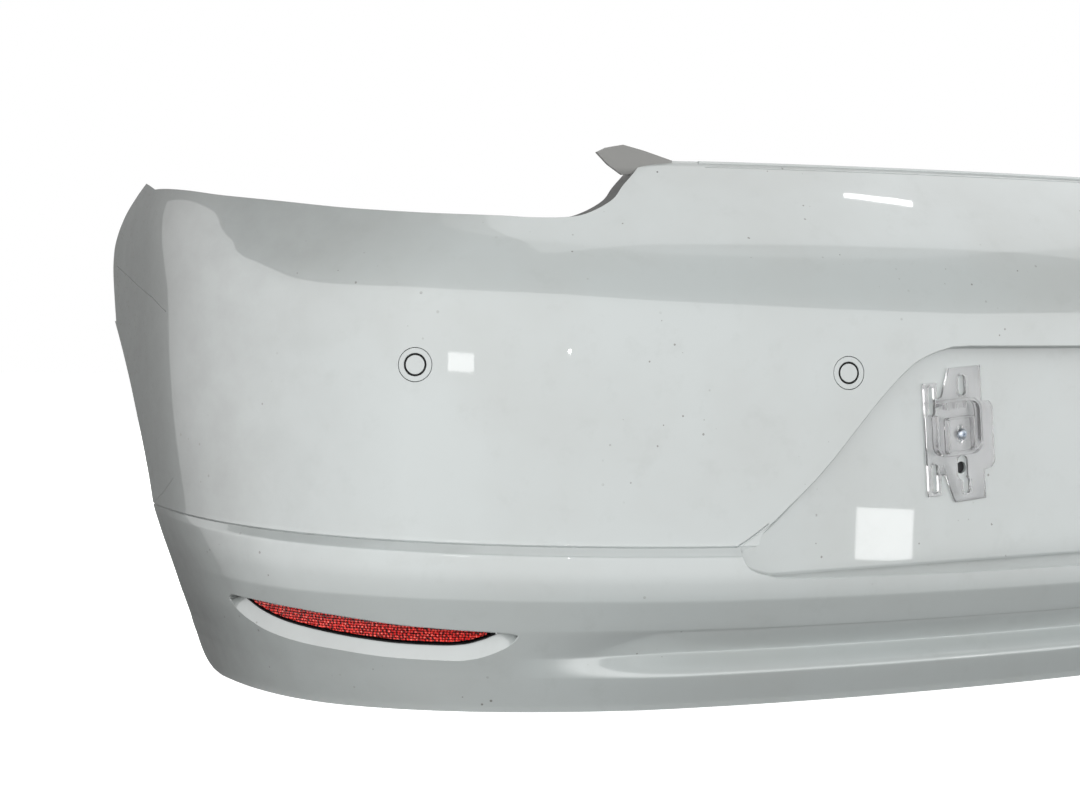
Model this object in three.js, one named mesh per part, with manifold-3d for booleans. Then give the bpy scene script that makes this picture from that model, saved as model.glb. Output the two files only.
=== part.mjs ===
// Rear bumper cover of a compact car: thin moulded skin with reflectors, parking sensors,
// number-plate brackets and a tilting tow-eye cover.
// Millimetres. +Z up, +X to the right as seen from behind the car, the painted side faces -Y.
// The cover stands on its lower edge at Z = 0, with its box centred on X = 0 and Y = 0.
import * as THREE from 'three';
import { mergeVertices } from 'three/addons/utils/BufferGeometryUtils.js';
import Module from 'manifold-3d';

const wasm = await Module();
wasm.setup();

// ---------------------------------------------------------------- driving dimensions

const WALL = 3;            // thickness of the moulded skin
const GAP = 0.3;           // clearance between touching pieces
const HALF_LENGTH = 1210;  // run of the belt line from the middle to past the wheel arch

// Bend of the belt line seen from above: a nearly straight rear and a soft corner.
const PLAN = { base: 4.6e-4, peak: 2.3e-3, corner: 925, spread: 325, fadeFrom: 1030, fadeTo: 1110, step: 2 };

// Upright section: height, then inset from the belt line in the middle, at the cheek and at the flank.
const SECTION = [
  [0, 30, 30, 53],
  [34, 12, 17, 44],
  [38, 14, 15.5, 42.5],
  [52, 31, 9.5, 38],
  [78, 4, -1, 27.5],
  [106, -10, -10, 17.5],
  [126, -11.5, -11.5, 10.5],
  [146, -10, -10, 4.5],
  [153, 0.5, 0.5, 3],
  [260, 5, 5, -4],
  [320, 8.5, 8.5, -5],
  [350, 11, 11, -4.5],
  [375, 15.5, 15.5, -4],
  [400, 26, 26, -3.5],
  [425, 43, 43, -2.5],
  [450, 64, 64, 0],
  [476, 87, 87, 6],
  [503, 112, 112, 18],
  [505, 115.5, 115.5, 19.5],
  [509, 124, 124, 24],
];
const HEIGHT = 509;
const LIP_FADE = [470, 655];     // the lower lip and cove die out between these runs
const FLANK_FADE = [800, 1080];  // the corner turns into the flank between these runs
const RISE = { from: 440, span: 640, height: 16, power: 1.3 };
const LIP_BOW = { reach: 520, depth: 13, below: 60 };  // the lip is flatter than the belt in plan

// Runs where the moulding has an upright line of corners: they pass through the sensors and
// the tow-eye cover, and lie closer together where the corner bends.
const STATIONS = [
  110, 220, 328, 420, 490, 560, 620, 675, 731, 780, 830, 880, 930, 985, 1040, 1100, 1155, HALF_LENGTH,
];

// Wheel arch, as a circle in the side view.
const ARCH = { y: 800, z: 95, radius: 362 };

// Edge under the tail lamp seen from behind, for the left side.
const LAMP_EDGE = [
  [-471, 503], [-478, 496], [-496, 481], [-510, 468], [-533, 456], [-553, 450.5], [-585, 449.5],
  [-611, 451], [-674, 454], [-729, 459.5], [-776, 466], [-824, 473], [-849, 479],
];
// Upper edge of the flank seen from the side: lamp corner, upper tip and quarter-panel joint.
const FLANK_EDGE = [
  [380, 478.5], [398, 482], [414, 487], [432, 496], [456, 504], [482, 508.5], [490, 496],
  [504, 480], [524, 463], [546, 438], [553, 419], [552, 395], [541, 352],
];
// Rounded lower corner in front of the wheel arch, seen from the side.
const LOWER_CORNER = [[442, 55], [439, 30], [431, 13], [415, 3.5], [392, 0]];

// Number-plate recess: outline seen from behind for the left half, and its flat floor.
const PLATE = { floor: 42, top: 333, bottom: 126 };
const PLATE_EDGE = [
  [-217, 332], [-240, 325], [-262, 313], [-296, 281], [-352, 218], [-398, 176], [-425, 157],
  [-434, 148], [-427, 134], [-404, 126],
];
const LEDGE = { half: 404, drop: 6, front: -30 };  // shelf below the plate, falling towards the belt
const TUB = { reach: 520, low: 78, high: 425, depth: 75 };  // stretch of wall behind the recess

// Reflector pocket along the belt line, for both sides.
const POCKET = { from: 636, to: 937, depth: 13, tray: 26, lead: 6, inset: 12 };

const SENSORS = [
  { name: 'outer_left', run: 731, z: 315.6 },
  { name: 'inner_left', run: 328, z: 309 },
  { name: 'inner_right', run: -328, z: 309 },
  { name: 'outer_right', run: -731, z: 315.6 },
];
const SENSOR = {
  hole: 15.6, ring: 15.2, flange: 18.5, bore: 10.3, seal: 10, sleeve: 9, face: 8.6,
  barrel: 12.3, cup: 12.9, holderDepth: 20, barrelDepth: 24,
};

const BRACKET = { x: 189, z: 249, tilt: 5, base: 2.5, boss: 11, wellDrop: 2, travel: 6 };
const BRACKET_EDGE = [
  [-11, 64], [-21, 38], [-26.5, 36], [-26.5, 52], [-41.5, 52], [-41.5, -56], [-26.5, -56],
  [-26.5, -37], [-21, -37], [-10, -65], [26.5, -65], [26.5, -37], [35, -36], [39.5, -31],
  [39.5, 24], [35, 29], [26.5, 29], [26.5, 64],
];
// Slots of the bracket: centre, half width and half length.
const BRACKET_SLOTS = [[-34, 35, 3.8, 14], [-34, -39, 3.8, 14], [3, 47, 4.5, 10], [3, -50, 4.5, 8]];
const SCREW = { head: 5.4, crown: 3.8, shank: 2.4, slot: 3, hole: 3.2, length: 16 };
const SPARE_HOLE = { drop: 32.5, radius: 5.8 };

const TOW = {
  run: -560, z: 218, halfWidth: 31, halfHeight: 29, corner: 12, gap: 1, axisUp: -8, axisIn: 6, pin: 1.6,
  sleeveWall: [5, 5.5], sleeveDepth: 22,
};

const CLIP = { length: 13, width: 14, sheet: 0.9, play: 1, overhang: 4, nut: 4.2, low: 130, high: 255 };
const TOP_FLANGE = { reach: 440, depth: 30, thick: 3, slots: 7, pitch: 120, slotAt: 16 };
const FOOT_FLANGE = { reach: 905, depth: 26, thick: 3, holeAt: 15, hole: 4 };
const FOOT_HOLES = [-780, -470, -160, 160, 470, 780];
const ARCH_LIP = { from: 1040, depth: 16 };
const LAMP_LIP = { from: 460, to: 1150, depth: 20, rear: 385 };
const FLANK_SIDE = 846;    // the joint with the quarter panel lies outboard of this X
const TAB = { front: 169, back: 172, ribBack: 186 };  // mounting tab beside the lamp cut-out, in Y

// ---------------------------------------------------------------- materials

const paint = { color: 0xe8ebea, roughness: 0.18, metalness: 0 };
const rawPlastic = { color: 0x2c2e30, roughness: 0.7, metalness: 0 };
const blackPlastic = { color: 0x101112, roughness: 0.5, metalness: 0 };
const silicone = { color: 0x0a0a0a, roughness: 0.8, metalness: 0 };
const redLens = { color: 0xc01410, roughness: 0.15, metalness: 0 };
const clearPlastic = { color: 0xd8dcdc, roughness: 0.12, metalness: 0 };
const zinc = { color: 0xa8b0b8, roughness: 0.3, metalness: 1 };

// ---------------------------------------------------------------- small helpers

const clamp01 = (t) => Math.min(Math.max(t, 0), 1);
const lerp = (a, b, t) => a + (b - a) * t;
const mirrorX = (points) => points.map(([x, ...rest]) => [-x, ...rest]);

function smooth([from, to], value) {
  const t = clamp01((value - from) / (to - from));
  return t * t * (3 - 2 * t);
}

function solidOf(geometry, matrix) {
  const bare = geometry.clone();
  bare.deleteAttribute('normal');
  bare.deleteAttribute('uv');
  const merged = mergeVertices(bare, 1e-4);
  if (matrix) merged.applyMatrix4(matrix);
  return new wasm.Manifold(new wasm.Mesh({
    numProp: 3,
    vertProperties: new Float32Array(merged.attributes.position.array),
    triVerts: new Uint32Array(merged.index.array),
  }));
}

function geometryOf(solid) {
  const mesh = solid.getMesh();
  const geometry = new THREE.BufferGeometry();
  geometry.setAttribute('position', new THREE.BufferAttribute(new Float32Array(mesh.vertProperties), 3));
  geometry.setIndex(new THREE.BufferAttribute(new Uint32Array(mesh.triVerts), 1));
  geometry.computeVertexNormals();
  return geometry;
}

const group = new THREE.Group();

function addPiece(name, solid, finish) {
  const material = new THREE.MeshStandardMaterial({ ...finish, flatShading: true });
  const mesh = new THREE.Mesh(geometryOf(solid), material);
  mesh.name = name;
  group.add(mesh);
}

function shapeOf(points, holes = []) {
  const shape = new THREE.Shape(points.map(([x, y]) => new THREE.Vector2(x, y)));
  shape.holes = holes.map((hole) => new THREE.Path(hole.map(([x, y]) => new THREE.Vector2(x, y))));
  return shape;
}

function roundedRect(halfWidth, halfHeight, radius, steps = 4, centre = [0, 0]) {
  const corners = [[1, 1, 0], [-1, 1, 90], [-1, -1, 180], [1, -1, 270]];
  return corners.flatMap(([sx, sy, start]) => Array.from({ length: steps + 1 }, (_, i) => {
    const angle = THREE.MathUtils.degToRad(start + (90 * i) / steps);
    const x = sx * (halfWidth - radius) + radius * Math.cos(angle);
    const y = sy * (halfHeight - radius) + radius * Math.sin(angle);
    return [centre[0] + x, centre[1] + y];
  }));
}

function slab(points, depth, matrix, holes = []) {
  const shape = shapeOf(points, holes);
  return solidOf(new THREE.ExtrudeGeometry(shape, { depth, bevelEnabled: false }), matrix);
}

// Prism between two levels of a local frame.
function slabAt(points, from, to, frame) {
  const lift = new THREE.Matrix4().makeTranslation(0, 0, from);
  return slab(points, to - from, lift.premultiply(frame));
}

// Turns a shape drawn in (x, height) into a prism that runs along +Y from y0.
function alongY(points, y0, y1, holes = []) {
  const matrix = new THREE.Matrix4().makeRotationX(Math.PI / 2).setPosition(0, y1, 0);
  return slab(points, y1 - y0, matrix, holes);
}

// Turns a shape drawn in (y, height) into a prism that runs along +X from x0.
function alongX(points, x0, x1) {
  const matrix = new THREE.Matrix4().makeBasis(
    new THREE.Vector3(0, 1, 0), new THREE.Vector3(0, 0, 1), new THREE.Vector3(1, 0, 0),
  ).setPosition(x0, 0, 0);
  return slab(points, x1 - x0, matrix);
}

function cylinder(radius, from, to, matrix, segments = 16) {
  const length = to - from;
  const geometry = new THREE.CylinderGeometry(radius, radius, length, segments);
  geometry.rotateX(Math.PI / 2);
  geometry.translate(0, 0, from + length / 2);
  return solidOf(geometry, matrix);
}

function box(size, centre, matrix) {
  const geometry = new THREE.BoxGeometry(...size);
  geometry.translate(...centre);
  return solidOf(geometry, matrix);
}

// A ring turned from a closed outline of [radius, height], drawn clockwise, about the local Z axis.
function turned(profile, matrix, segments = 16) {
  const points = [...profile, profile[0]].reverse().map(([r, h]) => new THREE.Vector2(r, h));
  const geometry = new THREE.LatheGeometry(points, segments);
  geometry.rotateX(Math.PI / 2);
  return solidOf(geometry, matrix);
}

// ---------------------------------------------------------------- the moulded surface

const plan = (() => {
  const points = [];
  let [x, y, heading] = [0, 0, 0];
  for (let run = 0; run <= HALF_LENGTH + 40; run += PLAN.step) {
    points.push({ x, y, heading });
    const bump = Math.exp(-(((run - PLAN.corner) / PLAN.spread) ** 2));
    const fade = 1 - smooth([PLAN.fadeFrom, PLAN.fadeTo], run);
    heading += (PLAN.base + PLAN.peak * bump) * fade * PLAN.step;
    x -= Math.cos(heading) * PLAN.step;
    y += Math.sin(heading) * PLAN.step;
  }
  return points;
})();

// Place and inward direction on the belt line; a positive run lies on the left of the car.
function beltAt(run) {
  const side = run < 0 ? -1 : 1;
  const place = Math.abs(run) / PLAN.step;
  const index = Math.min(Math.floor(place), plan.length - 2);
  const t = place - index;
  const [a, b] = [plan[index], plan[index + 1]];
  const heading = lerp(a.heading, b.heading, t);
  return {
    x: side * lerp(a.x, b.x, t),
    y: lerp(a.y, b.y, t),
    inX: side * Math.sin(heading),
    inY: Math.cos(heading),
  };
}

// How far the creases climb towards the wheel arch at one height of the section.
function climb(run, height) {
  const amount = RISE.height * Math.max((Math.abs(run) - RISE.from) / RISE.span, 0) ** RISE.power;
  if (height < 60) return amount * 0.3 * (height / 60);
  if (height < 153) return amount * lerp(0.3, 1, (height - 60) / 93);
  if (height < 260) return amount;
  return amount * clamp01((503 - height) / 243);
}

function rowInset(row, run) {
  const [height, middle, cheek, flank] = row;
  const lip = 1 - smooth(LIP_FADE, Math.abs(run));
  const side = smooth(FLANK_FADE, Math.abs(run));
  const bow = height < LIP_BOW.below ? LIP_BOW.depth * Math.max(0, 1 - (run / LIP_BOW.reach) ** 2) : 0;
  return lerp(lerp(cheek, middle, lip), flank, side) + bow;
}

// Inset of the painted surface at any run and true height.
function insetAt(run, z) {
  const height = z - climb(run, z);
  let i = SECTION.findIndex((row) => row[0] > height);
  if (i < 1) i = i < 0 ? SECTION.length - 1 : 1;
  const [low, high] = [SECTION[i - 1], SECTION[i]];
  return lerp(rowInset(low, run), rowInset(high, run), (height - low[0]) / (high[0] - low[0]));
}

function pointAt(run, inset, z) {
  const belt = beltAt(run);
  return new THREE.Vector3(belt.x + belt.inX * inset, belt.y + belt.inY * inset, z);
}

// Level stretch of wall along the belt line that gives the skin its thickness on a slope.
function slopedWall(index, run) {
  const low = SECTION[Math.max(index - 1, 0)];
  const high = SECTION[Math.min(index + 1, SECTION.length - 1)];
  const slope = (rowInset(high, run) - rowInset(low, run)) / (high[0] - low[0]);
  return WALL * Math.sqrt(1 + slope * slope);
}

function runStations(from, to) {
  const both = [...STATIONS.map((run) => -run).reverse(), 0, ...STATIONS];
  return [from, ...both.filter((run) => run > from + 4 && run < to - 4), to];
}

// Closed solid between two grids of points of the same size.
function gridSolid(outer, inner) {
  const [columns, rows] = [outer.length, outer[0].length];
  const positions = [...outer.flat(), ...inner.flat()].flatMap((p) => [p.x, p.y, p.z]);
  const at = (layer, i, j) => layer * columns * rows + i * rows + j;
  const index = [];
  const quad = (a, b, c, d) => index.push(a, b, c, a, c, d);
  for (let i = 0; i + 1 < columns; i += 1) {
    for (let j = 0; j + 1 < rows; j += 1) {
      quad(at(0, i, j), at(0, i, j + 1), at(0, i + 1, j + 1), at(0, i + 1, j));
      quad(at(1, i, j), at(1, i + 1, j), at(1, i + 1, j + 1), at(1, i, j + 1));
    }
    quad(at(0, i, 0), at(0, i + 1, 0), at(1, i + 1, 0), at(1, i, 0));
    quad(at(0, i, rows - 1), at(1, i, rows - 1), at(1, i + 1, rows - 1), at(0, i + 1, rows - 1));
  }
  for (let j = 0; j + 1 < rows; j += 1) {
    quad(at(0, 0, j), at(1, 0, j), at(1, 0, j + 1), at(0, 0, j + 1));
    quad(at(0, columns - 1, j), at(0, columns - 1, j + 1), at(1, columns - 1, j + 1), at(1, columns - 1, j));
  }
  const geometry = new THREE.BufferGeometry();
  geometry.setAttribute('position', new THREE.Float32BufferAttribute(positions, 3));
  geometry.setIndex(index);
  return solidOf(geometry);
}

// Slice of the moulding between two depths behind the painted surface.
function skinBand(from, to, front, back, rows = SECTION) {
  const grid = (depth) => runStations(from, to).map((run) => rows.map((row) => {
    const index = SECTION.indexOf(row);
    return pointAt(run, rowInset(row, run) + depth(index, run), row[0] + climb(run, row[0]));
  }));
  return gridSolid(grid(front), grid(back));
}

// Strip that follows the belt line between two heights and two depths, each a function of the run.
function ribbon(from, to, low, high, front, back, columns = 16) {
  const runs = Array.from({ length: columns + 1 }, (_, i) => lerp(from, to, i / columns));
  const grid = (depth) => runs.map((run) => [low, high].map((height) => {
    const z = height(run, depth);
    return pointAt(run, insetAt(run, z) + depth, z);
  }));
  return gridSolid(grid(front), grid(back));
}

// Level strip behind the painted surface, as for a flange.
function levelFlange(from, to, z0, z1, front, back) {
  const grid = (depth) => runStations(from, to).map((run) => [z0, z1].map((z) => (
    pointAt(run, depth(run), z))));
  return gridSolid(grid(front), grid(back));
}

// Frame on the painted surface: local X along the car, local Y up the surface, local Z outwards.
function surfaceFrame(run, z) {
  const point = (r, h) => pointAt(r, insetAt(r, h), h);
  const across = point(run - 8, z).sub(point(run + 8, z)).normalize();
  const up = point(run, z + 8).sub(point(run, z - 8)).normalize();
  const out = new THREE.Vector3().crossVectors(across, up).normalize();
  return new THREE.Matrix4().makeBasis(across, up.crossVectors(out, across), out).setPosition(point(run, z));
}

// ---------------------------------------------------------------- cutters shared by skin and flanges

function closedAbove(edge, top) {
  return [...edge, [edge[edge.length - 1][0], top], [edge[0][0], top]];
}

// Region above the edge under the tail lamp, with the edge moved into the skin by grow.
function lampCutter(side, grow) {
  const edge = LAMP_EDGE.map(([x, z], i) => {
    const [before, after] = [LAMP_EDGE[Math.max(i - 1, 0)], LAMP_EDGE[Math.min(i + 1, LAMP_EDGE.length - 1)]];
    const [dx, dz] = [after[0] - before[0], after[1] - before[1]];
    const length = Math.hypot(dx, dz);
    return [x - (dz / length) * grow, z + (dx / length) * grow];
  });
  const outline = closedAbove(edge, 640);
  return alongY(side < 0 ? outline : mirrorX(outline).reverse(), 60, grow === 0 ? 500 : LAMP_LIP.rear);
}

function flankCutter(side) {
  const outline = [...FLANK_EDGE, [700, 352], [700, 640], [380, 640]];
  return side < 0 ? alongX(outline, -1000, -FLANK_SIDE) : alongX(outline, FLANK_SIDE, 1000);
}

function cornerCutter() {
  return alongX([...LOWER_CORNER, [392, -20], [520, -20], [520, 55]], -1000, 1000);
}

function archCutter(grow = 0) {
  const matrix = new THREE.Matrix4().makeRotationY(Math.PI / 2).setPosition(0, ARCH.y, ARCH.z);
  return cylinder(ARCH.radius + grow, -1000, 1000, matrix, 60);
}

function plateOutline(grow) {
  const half = PLATE_EDGE.map(([x, z], i) => {
    const before = PLATE_EDGE[i - 1] ?? [0, PLATE.top];
    const after = PLATE_EDGE[i + 1] ?? [0, PLATE.bottom];
    const [dx, dz] = [after[0] - before[0], after[1] - before[1]];
    const length = Math.hypot(dx, dz);
    return [x + (dz / length) * grow, z - (dx / length) * grow];
  });
  return [...half, ...mirrorX(half).reverse()];
}

// ---------------------------------------------------------------- bumper cover

// Wedge that lets the ledge below the plate fall from the recess floor to the belt.
function ledgeCutter() {
  const top = PLATE.bottom + 1;
  const { floor, bottom } = PLATE;
  const fall = [[floor, bottom], [LEDGE.front, bottom - LEDGE.drop], [LEDGE.front, top], [floor, top]];
  return alongX(fall, -LEDGE.half, LEDGE.half);
}

function plateRecess() {
  const rows = SECTION.filter((row) => row[0] >= TUB.low && row[0] <= TUB.high);
  const behind = skinBand(-TUB.reach, TUB.reach, () => 0, () => TUB.depth, rows);
  const tub = alongY(plateOutline(WALL), -60, PLATE.floor + WALL);
  const opening = alongY(plateOutline(0), -60, PLATE.floor).add(ledgeCutter());
  return { tub: behind.intersect(tub), opening };
}

// Mounting tab that points outboard from the top corner of the lamp cut-out, with a stiffening rib.
function lampTab(side) {
  const plate = [[-436, 506], [-474, 497], [-493, 500], [-512, 514.5], [-497, 521], [-481, 523], [-440, 509]];
  const rib = [[-497, 518], [-497, 521], [-481, 523], [-436, 509], [-436, 506], [-481, 520]];
  const hand = (points) => (side < 0 ? points : mirrorX(points));
  return alongY(hand(plate), TAB.front, TAB.back).add(alongY(hand(rib), TAB.front, TAB.ribBack));
}

function topFlange() {
  const inset = SECTION[SECTION.length - 1][1];
  const { reach, depth, thick, slots, pitch, slotAt } = TOP_FLANGE;
  const overlap = 4.5;
  let flange = levelFlange(-reach, reach, HEIGHT - thick, HEIGHT, () => inset - overlap, () => inset + depth);
  for (let slot = 0; slot < slots; slot += 1) {
    const centre = pointAt((slot - (slots - 1) / 2) * pitch, inset + slotAt, HEIGHT);
    const outline = roundedRect(9, 4, 3.9, 3, [centre.x, centre.y]);
    flange = flange.subtract(slab(outline, 20, new THREE.Matrix4().setPosition(0, 0, HEIGHT - 10)));
  }
  return flange;
}

function footFlange() {
  const { reach, depth, thick, holeAt, hole } = FOOT_FLANGE;
  const edge = (run) => insetAt(run, 0);
  let flange = levelFlange(-reach, reach, 0, thick, (run) => edge(run) + 0.8, (run) => edge(run) + depth);
  for (const run of FOOT_HOLES) {
    const centre = pointAt(run, edge(run) + holeAt, 0);
    flange = flange.subtract(cylinder(hole, -10, 10, new THREE.Matrix4().setPosition(centre), 16));
  }
  return flange;
}

// Heights of the reflector pocket: its mouth on the surface, and the window behind it.
const pocketTop = (run) => lerp(79, 95.5, clamp01((Math.abs(run) - 655) / 230)) - endTaper(run, 7);
const pocketBottom = (run) => 50 + 8 * clamp01((Math.abs(run) - 690) / 160) + endTaper(run, 17);
const windowBottom = (run) => pocketTop(run) - 20 + 2.5 * endTaper(run, 3) + endTaper(run, 9);

function endTaper(run, amount) {
  const place = (Math.abs(run) - POCKET.from) / (POCKET.to - POCKET.from);
  const near = 1 - clamp01(place / 0.16);
  const far = 1 - clamp01((1 - place) / 0.28);
  return amount * (near ** 2 + far ** 2);
}

function pocketParts(side) {
  const [from, to] = [side * POCKET.from, side * POCKET.to].sort((a, b) => a - b);
  const slanted = (run, depth) => {
    const at = clamp01(depth / POCKET.depth);
    return lerp(pocketBottom(run), windowBottom(run), at);
  };
  const edge = (amount) => (run, depth) => slanted(run, depth) - amount;
  const top = (amount) => (run) => pocketTop(run) + amount;
  return {
    wall: ribbon(from - 3, to + 3, edge(WALL), top(WALL), 1, POCKET.depth, 14),
    mouth: ribbon(from, to, edge(0), top(0), -POCKET.lead, POCKET.depth + 0.01, 14),
    window: ribbon(from + POCKET.inset, to - POCKET.inset, windowBottom, top(-0.5), 0, 40, 14),
  };
}

function bumperCover() {
  let skin = skinBand(-HALF_LENGTH, HALF_LENGTH, () => 0, slopedWall);
  const lampRows = SECTION.filter((row) => row[0] >= 425 && row[0] !== 503);
  const archRows = SECTION.filter((row) => ![38, 153, 375, 505].includes(row[0]));
  for (const side of [-1, 1]) {
    const [near, far] = [side * ARCH_LIP.from, side * HALF_LENGTH].sort((a, b) => a - b);
    const archBand = skinBand(near, far, () => 0.6, () => ARCH_LIP.depth, archRows);
    skin = skin.add(archCutter(WALL).intersect(archBand));
    const [inboard, outboard] = [side * LAMP_LIP.from, side * LAMP_LIP.to].sort((a, b) => a - b);
    const lampBand = skinBand(inboard, outboard, () => 1, () => LAMP_LIP.depth, lampRows);
    skin = skin.add(lampCutter(-side, WALL).intersect(lampBand));
  }
  skin = skin.add(topFlange()).add(footFlange());
  const { tub, opening } = plateRecess();
  skin = skin.subtract(opening).add(tub.subtract(opening));
  for (const side of [-1, 1]) {
    const { wall, mouth, window } = pocketParts(side);
    skin = skin.add(wall).subtract(mouth).subtract(window);
    skin = skin.subtract(lampCutter(side, 0)).subtract(flankCutter(side));
  }
  for (const side of [-1, 1]) skin = skin.add(lampTab(side));
  skin = skin.subtract(archCutter()).subtract(cornerCutter());
  for (const { run, z } of SENSORS) {
    skin = skin.subtract(cylinder(SENSOR.hole, -8, 12, surfaceFrame(run, z), 16));
  }
  for (const side of [-1, 1]) {
    const frame = bracketFrame(side);
    skin = skin.subtract(cylinder(SCREW.hole, -8, 8, frame, 12));
    const spare = new THREE.Matrix4().makeTranslation(0, -SPARE_HOLE.drop, 0).premultiply(frame);
    skin = skin.subtract(cylinder(SPARE_HOLE.radius, -8, 8, spare, 16));
  }
  const towHole = roundedRect(TOW.halfWidth + TOW.gap, TOW.halfHeight + TOW.gap, TOW.corner, 4);
  return skin.subtract(slabAt(towHole, -12, 12, surfaceFrame(TOW.run, TOW.z)));
}

// ---------------------------------------------------------------- reflectors

function addReflector(side, name) {
  const [from, to] = [side * POCKET.from, side * POCKET.to].sort((a, b) => a - b);
  const low = (amount) => (run) => windowBottom(run) + amount;
  const high = (amount) => (run) => pocketTop(run) - amount;
  const seat = POCKET.depth - 4;
  const body = ribbon(from + 14, to - 14, low(0.6), high(1.2), seat, POCKET.tray, 12);
  const hollow = ribbon(from + 18, to - 18, low(2.4), high(3), seat - 2, POCKET.tray - 2, 12);
  const rear = ribbon(from + 26, to - 26, low(-6), high(-6), POCKET.depth + GAP + 0.3, POCKET.depth + 2.5, 12);
  addPiece(`reflector_housing_${name}`, body.add(rear).subtract(hollow), blackPlastic);
  const lens = ribbon(from + 22, to - 22, low(3.4), high(3.6), seat + 0.5, seat + 4, 16);
  addPiece(`reflector_lens_${name}`, lens, redLens);
}

// ---------------------------------------------------------------- parking sensors

function addSensor({ name, run, z }) {
  const frame = surfaceFrame(run, z);
  const { ring, flange, bore, seal, sleeve, face, barrel: radius, cup, holderDepth, barrelDepth } = SENSOR;
  const holder = [[bore, 0], [ring, 0], [ring, -4.4], [flange, -4.4], [flange, -6.2], [ring, -6.2],
    [ring, -holderDepth], [cup, -holderDepth], [cup, -6.4], [bore, -4]];
  addPiece(`sensor_holder_${name}`, turned(holder, frame), paint);
  const sealSection = [[sleeve, -0.4], [seal, -0.4], [seal, -5.6], [sleeve, -5.6]];
  addPiece(`decoupling_ring_${name}`, turned(sealSection, frame), silicone);
  const barrel = cylinder(radius, -barrelDepth, -7, frame).add(cylinder(face, -8, -0.5, frame));
  const socket = box([15, 22, 12], [0, 7, -29], frame).subtract(box([11, 14, 8], [0, 13, -29], frame));
  addPiece(`parking_sensor_${name}`, barrel.add(box([15, 18, 6], [0, 5, -25], frame)).add(socket), paint);
}

// ---------------------------------------------------------------- number-plate brackets

// Local X points right, local Y along the bracket, local Z out of the recess floor.
function bracketFrame(side) {
  const tilt = new THREE.Matrix4().makeRotationZ(THREE.MathUtils.degToRad(-side * BRACKET.tilt));
  const upright = new THREE.Matrix4().makeRotationX(Math.PI / 2);
  return upright.multiply(tilt).setPosition(side * BRACKET.x, PLATE.floor, BRACKET.z);
}

function addBracket(side, name) {
  const frame = bracketFrame(side);
  const hand = (points) => (side < 0 ? points : mirrorX(points).reverse());
  const seatFrame = new THREE.Matrix4().makeTranslation(0, 0, GAP).premultiply(frame);
  const holes = BRACKET_SLOTS.map(([x, y, halfWidth, halfLength]) => (
    hand(roundedRect(halfWidth, halfLength, halfWidth - 0.1, 3, [x, y]))));
  const plate = slab(hand(BRACKET_EDGE), BRACKET.base, seatFrame, holes);
  const inside = hand(roundedRect(24, 24, 9.5, 4, [-8, 8]));
  const bossWall = slab(hand(roundedRect(27, 27, 12, 4, [-8, 8])), BRACKET.boss, seatFrame, [inside]);
  const wellTop = BRACKET.boss - BRACKET.wellDrop;
  const well = slabAt(hand(roundedRect(16.5, 17.5, 3, 2, [-4, 0])), GAP, wellTop, frame)
    .subtract(slabAt(hand(roundedRect(14, 15, 2, 2, [-4, 0])), BRACKET.base + 0.5, BRACKET.boss, frame));
  const slot = roundedRect(SCREW.slot, SCREW.slot + BRACKET.travel, SCREW.slot - 0.1, 4);
  const screwSlot = slabAt(slot, -2, 20, frame);
  const spare = slabAt(roundedRect(6.2, 6.2 + BRACKET.travel, 6.1, 4, [0, -SPARE_HOLE.drop]), -2, 20, frame);
  const bracket = plate.add(bossWall).add(well).subtract(screwSlot).subtract(spare);
  addPiece(`plate_bracket_${name}`, bracket, clearPlastic);

  const seat = BRACKET.base + GAP + GAP + 0.2;
  const screwHead = cylinder(SCREW.head, seat, seat + 2.2, frame, 20).add(
    cylinder(SCREW.crown, seat + 2, seat + 3.4, frame, 20));
  const screw = screwHead.add(cylinder(SCREW.shank, -SCREW.length, seat + 1, frame, 16));
  addPiece(`plate_screw_${name}`, screw, zinc);
  const nut = [[SCREW.shank + GAP, -3 - GAP], [8, -3 - GAP], [8, -5], [4.6, -5], [4, -15],
    [SCREW.shank + GAP, -15]];
  addPiece(`plate_nut_${name}`, turned(nut, frame, 16), rawPlastic);
}

// ---------------------------------------------------------------- tow-eye cover

// The lower edge of the cover is pressed in and its upper edge tips out on two stub pins.
function addTowEyeCover() {
  const frame = surfaceFrame(TOW.run, TOW.z);
  const { halfWidth, halfHeight, corner, axisUp, axisIn } = TOW;
  const across = new THREE.Matrix4().makeRotationY(Math.PI / 2).setPosition(0, axisUp, -axisIn);
  const pivot = across.premultiply(frame);
  let cover = slabAt(roundedRect(halfWidth, halfHeight, corner, 4), -WALL, 0, frame);
  for (const side of [-1, 1]) {
    const lug = roundedRect(1.5, 7, 1, 2, [side * (halfWidth - WALL), axisUp]);
    cover = cover.add(slabAt(lug, -axisIn - WALL, -WALL + 0.5, frame));
  }
  cover = cover.add(cylinder(TOW.pin, -halfWidth - WALL, halfWidth + WALL, pivot, 16));
  addPiece('tow_eye_cover', cover, paint);

  const [room, clearance, pinPlay] = [1.2, 1.6, 0.1];
  const [innerWidth, innerHeight] = [halfWidth + room, halfHeight + 2 * room];
  const bore = roundedRect(innerWidth, innerHeight, corner, 4);
  const wall = roundedRect(innerWidth + TOW.sleeveWall[0], innerHeight + TOW.sleeveWall[1], corner, 4);
  let sleeve = slabAt(wall, -TOW.sleeveDepth, -WALL - clearance, frame).subtract(slabAt(bore, -30, 0, frame));
  sleeve = sleeve.subtract(cylinder(TOW.pin + pinPlay, -halfWidth - 4, halfWidth + 4, pivot, 16));
  addPiece('tow_eye_sleeve', sleeve, rawPlastic);
}

// ---------------------------------------------------------------- wheel-arch clips

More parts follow.
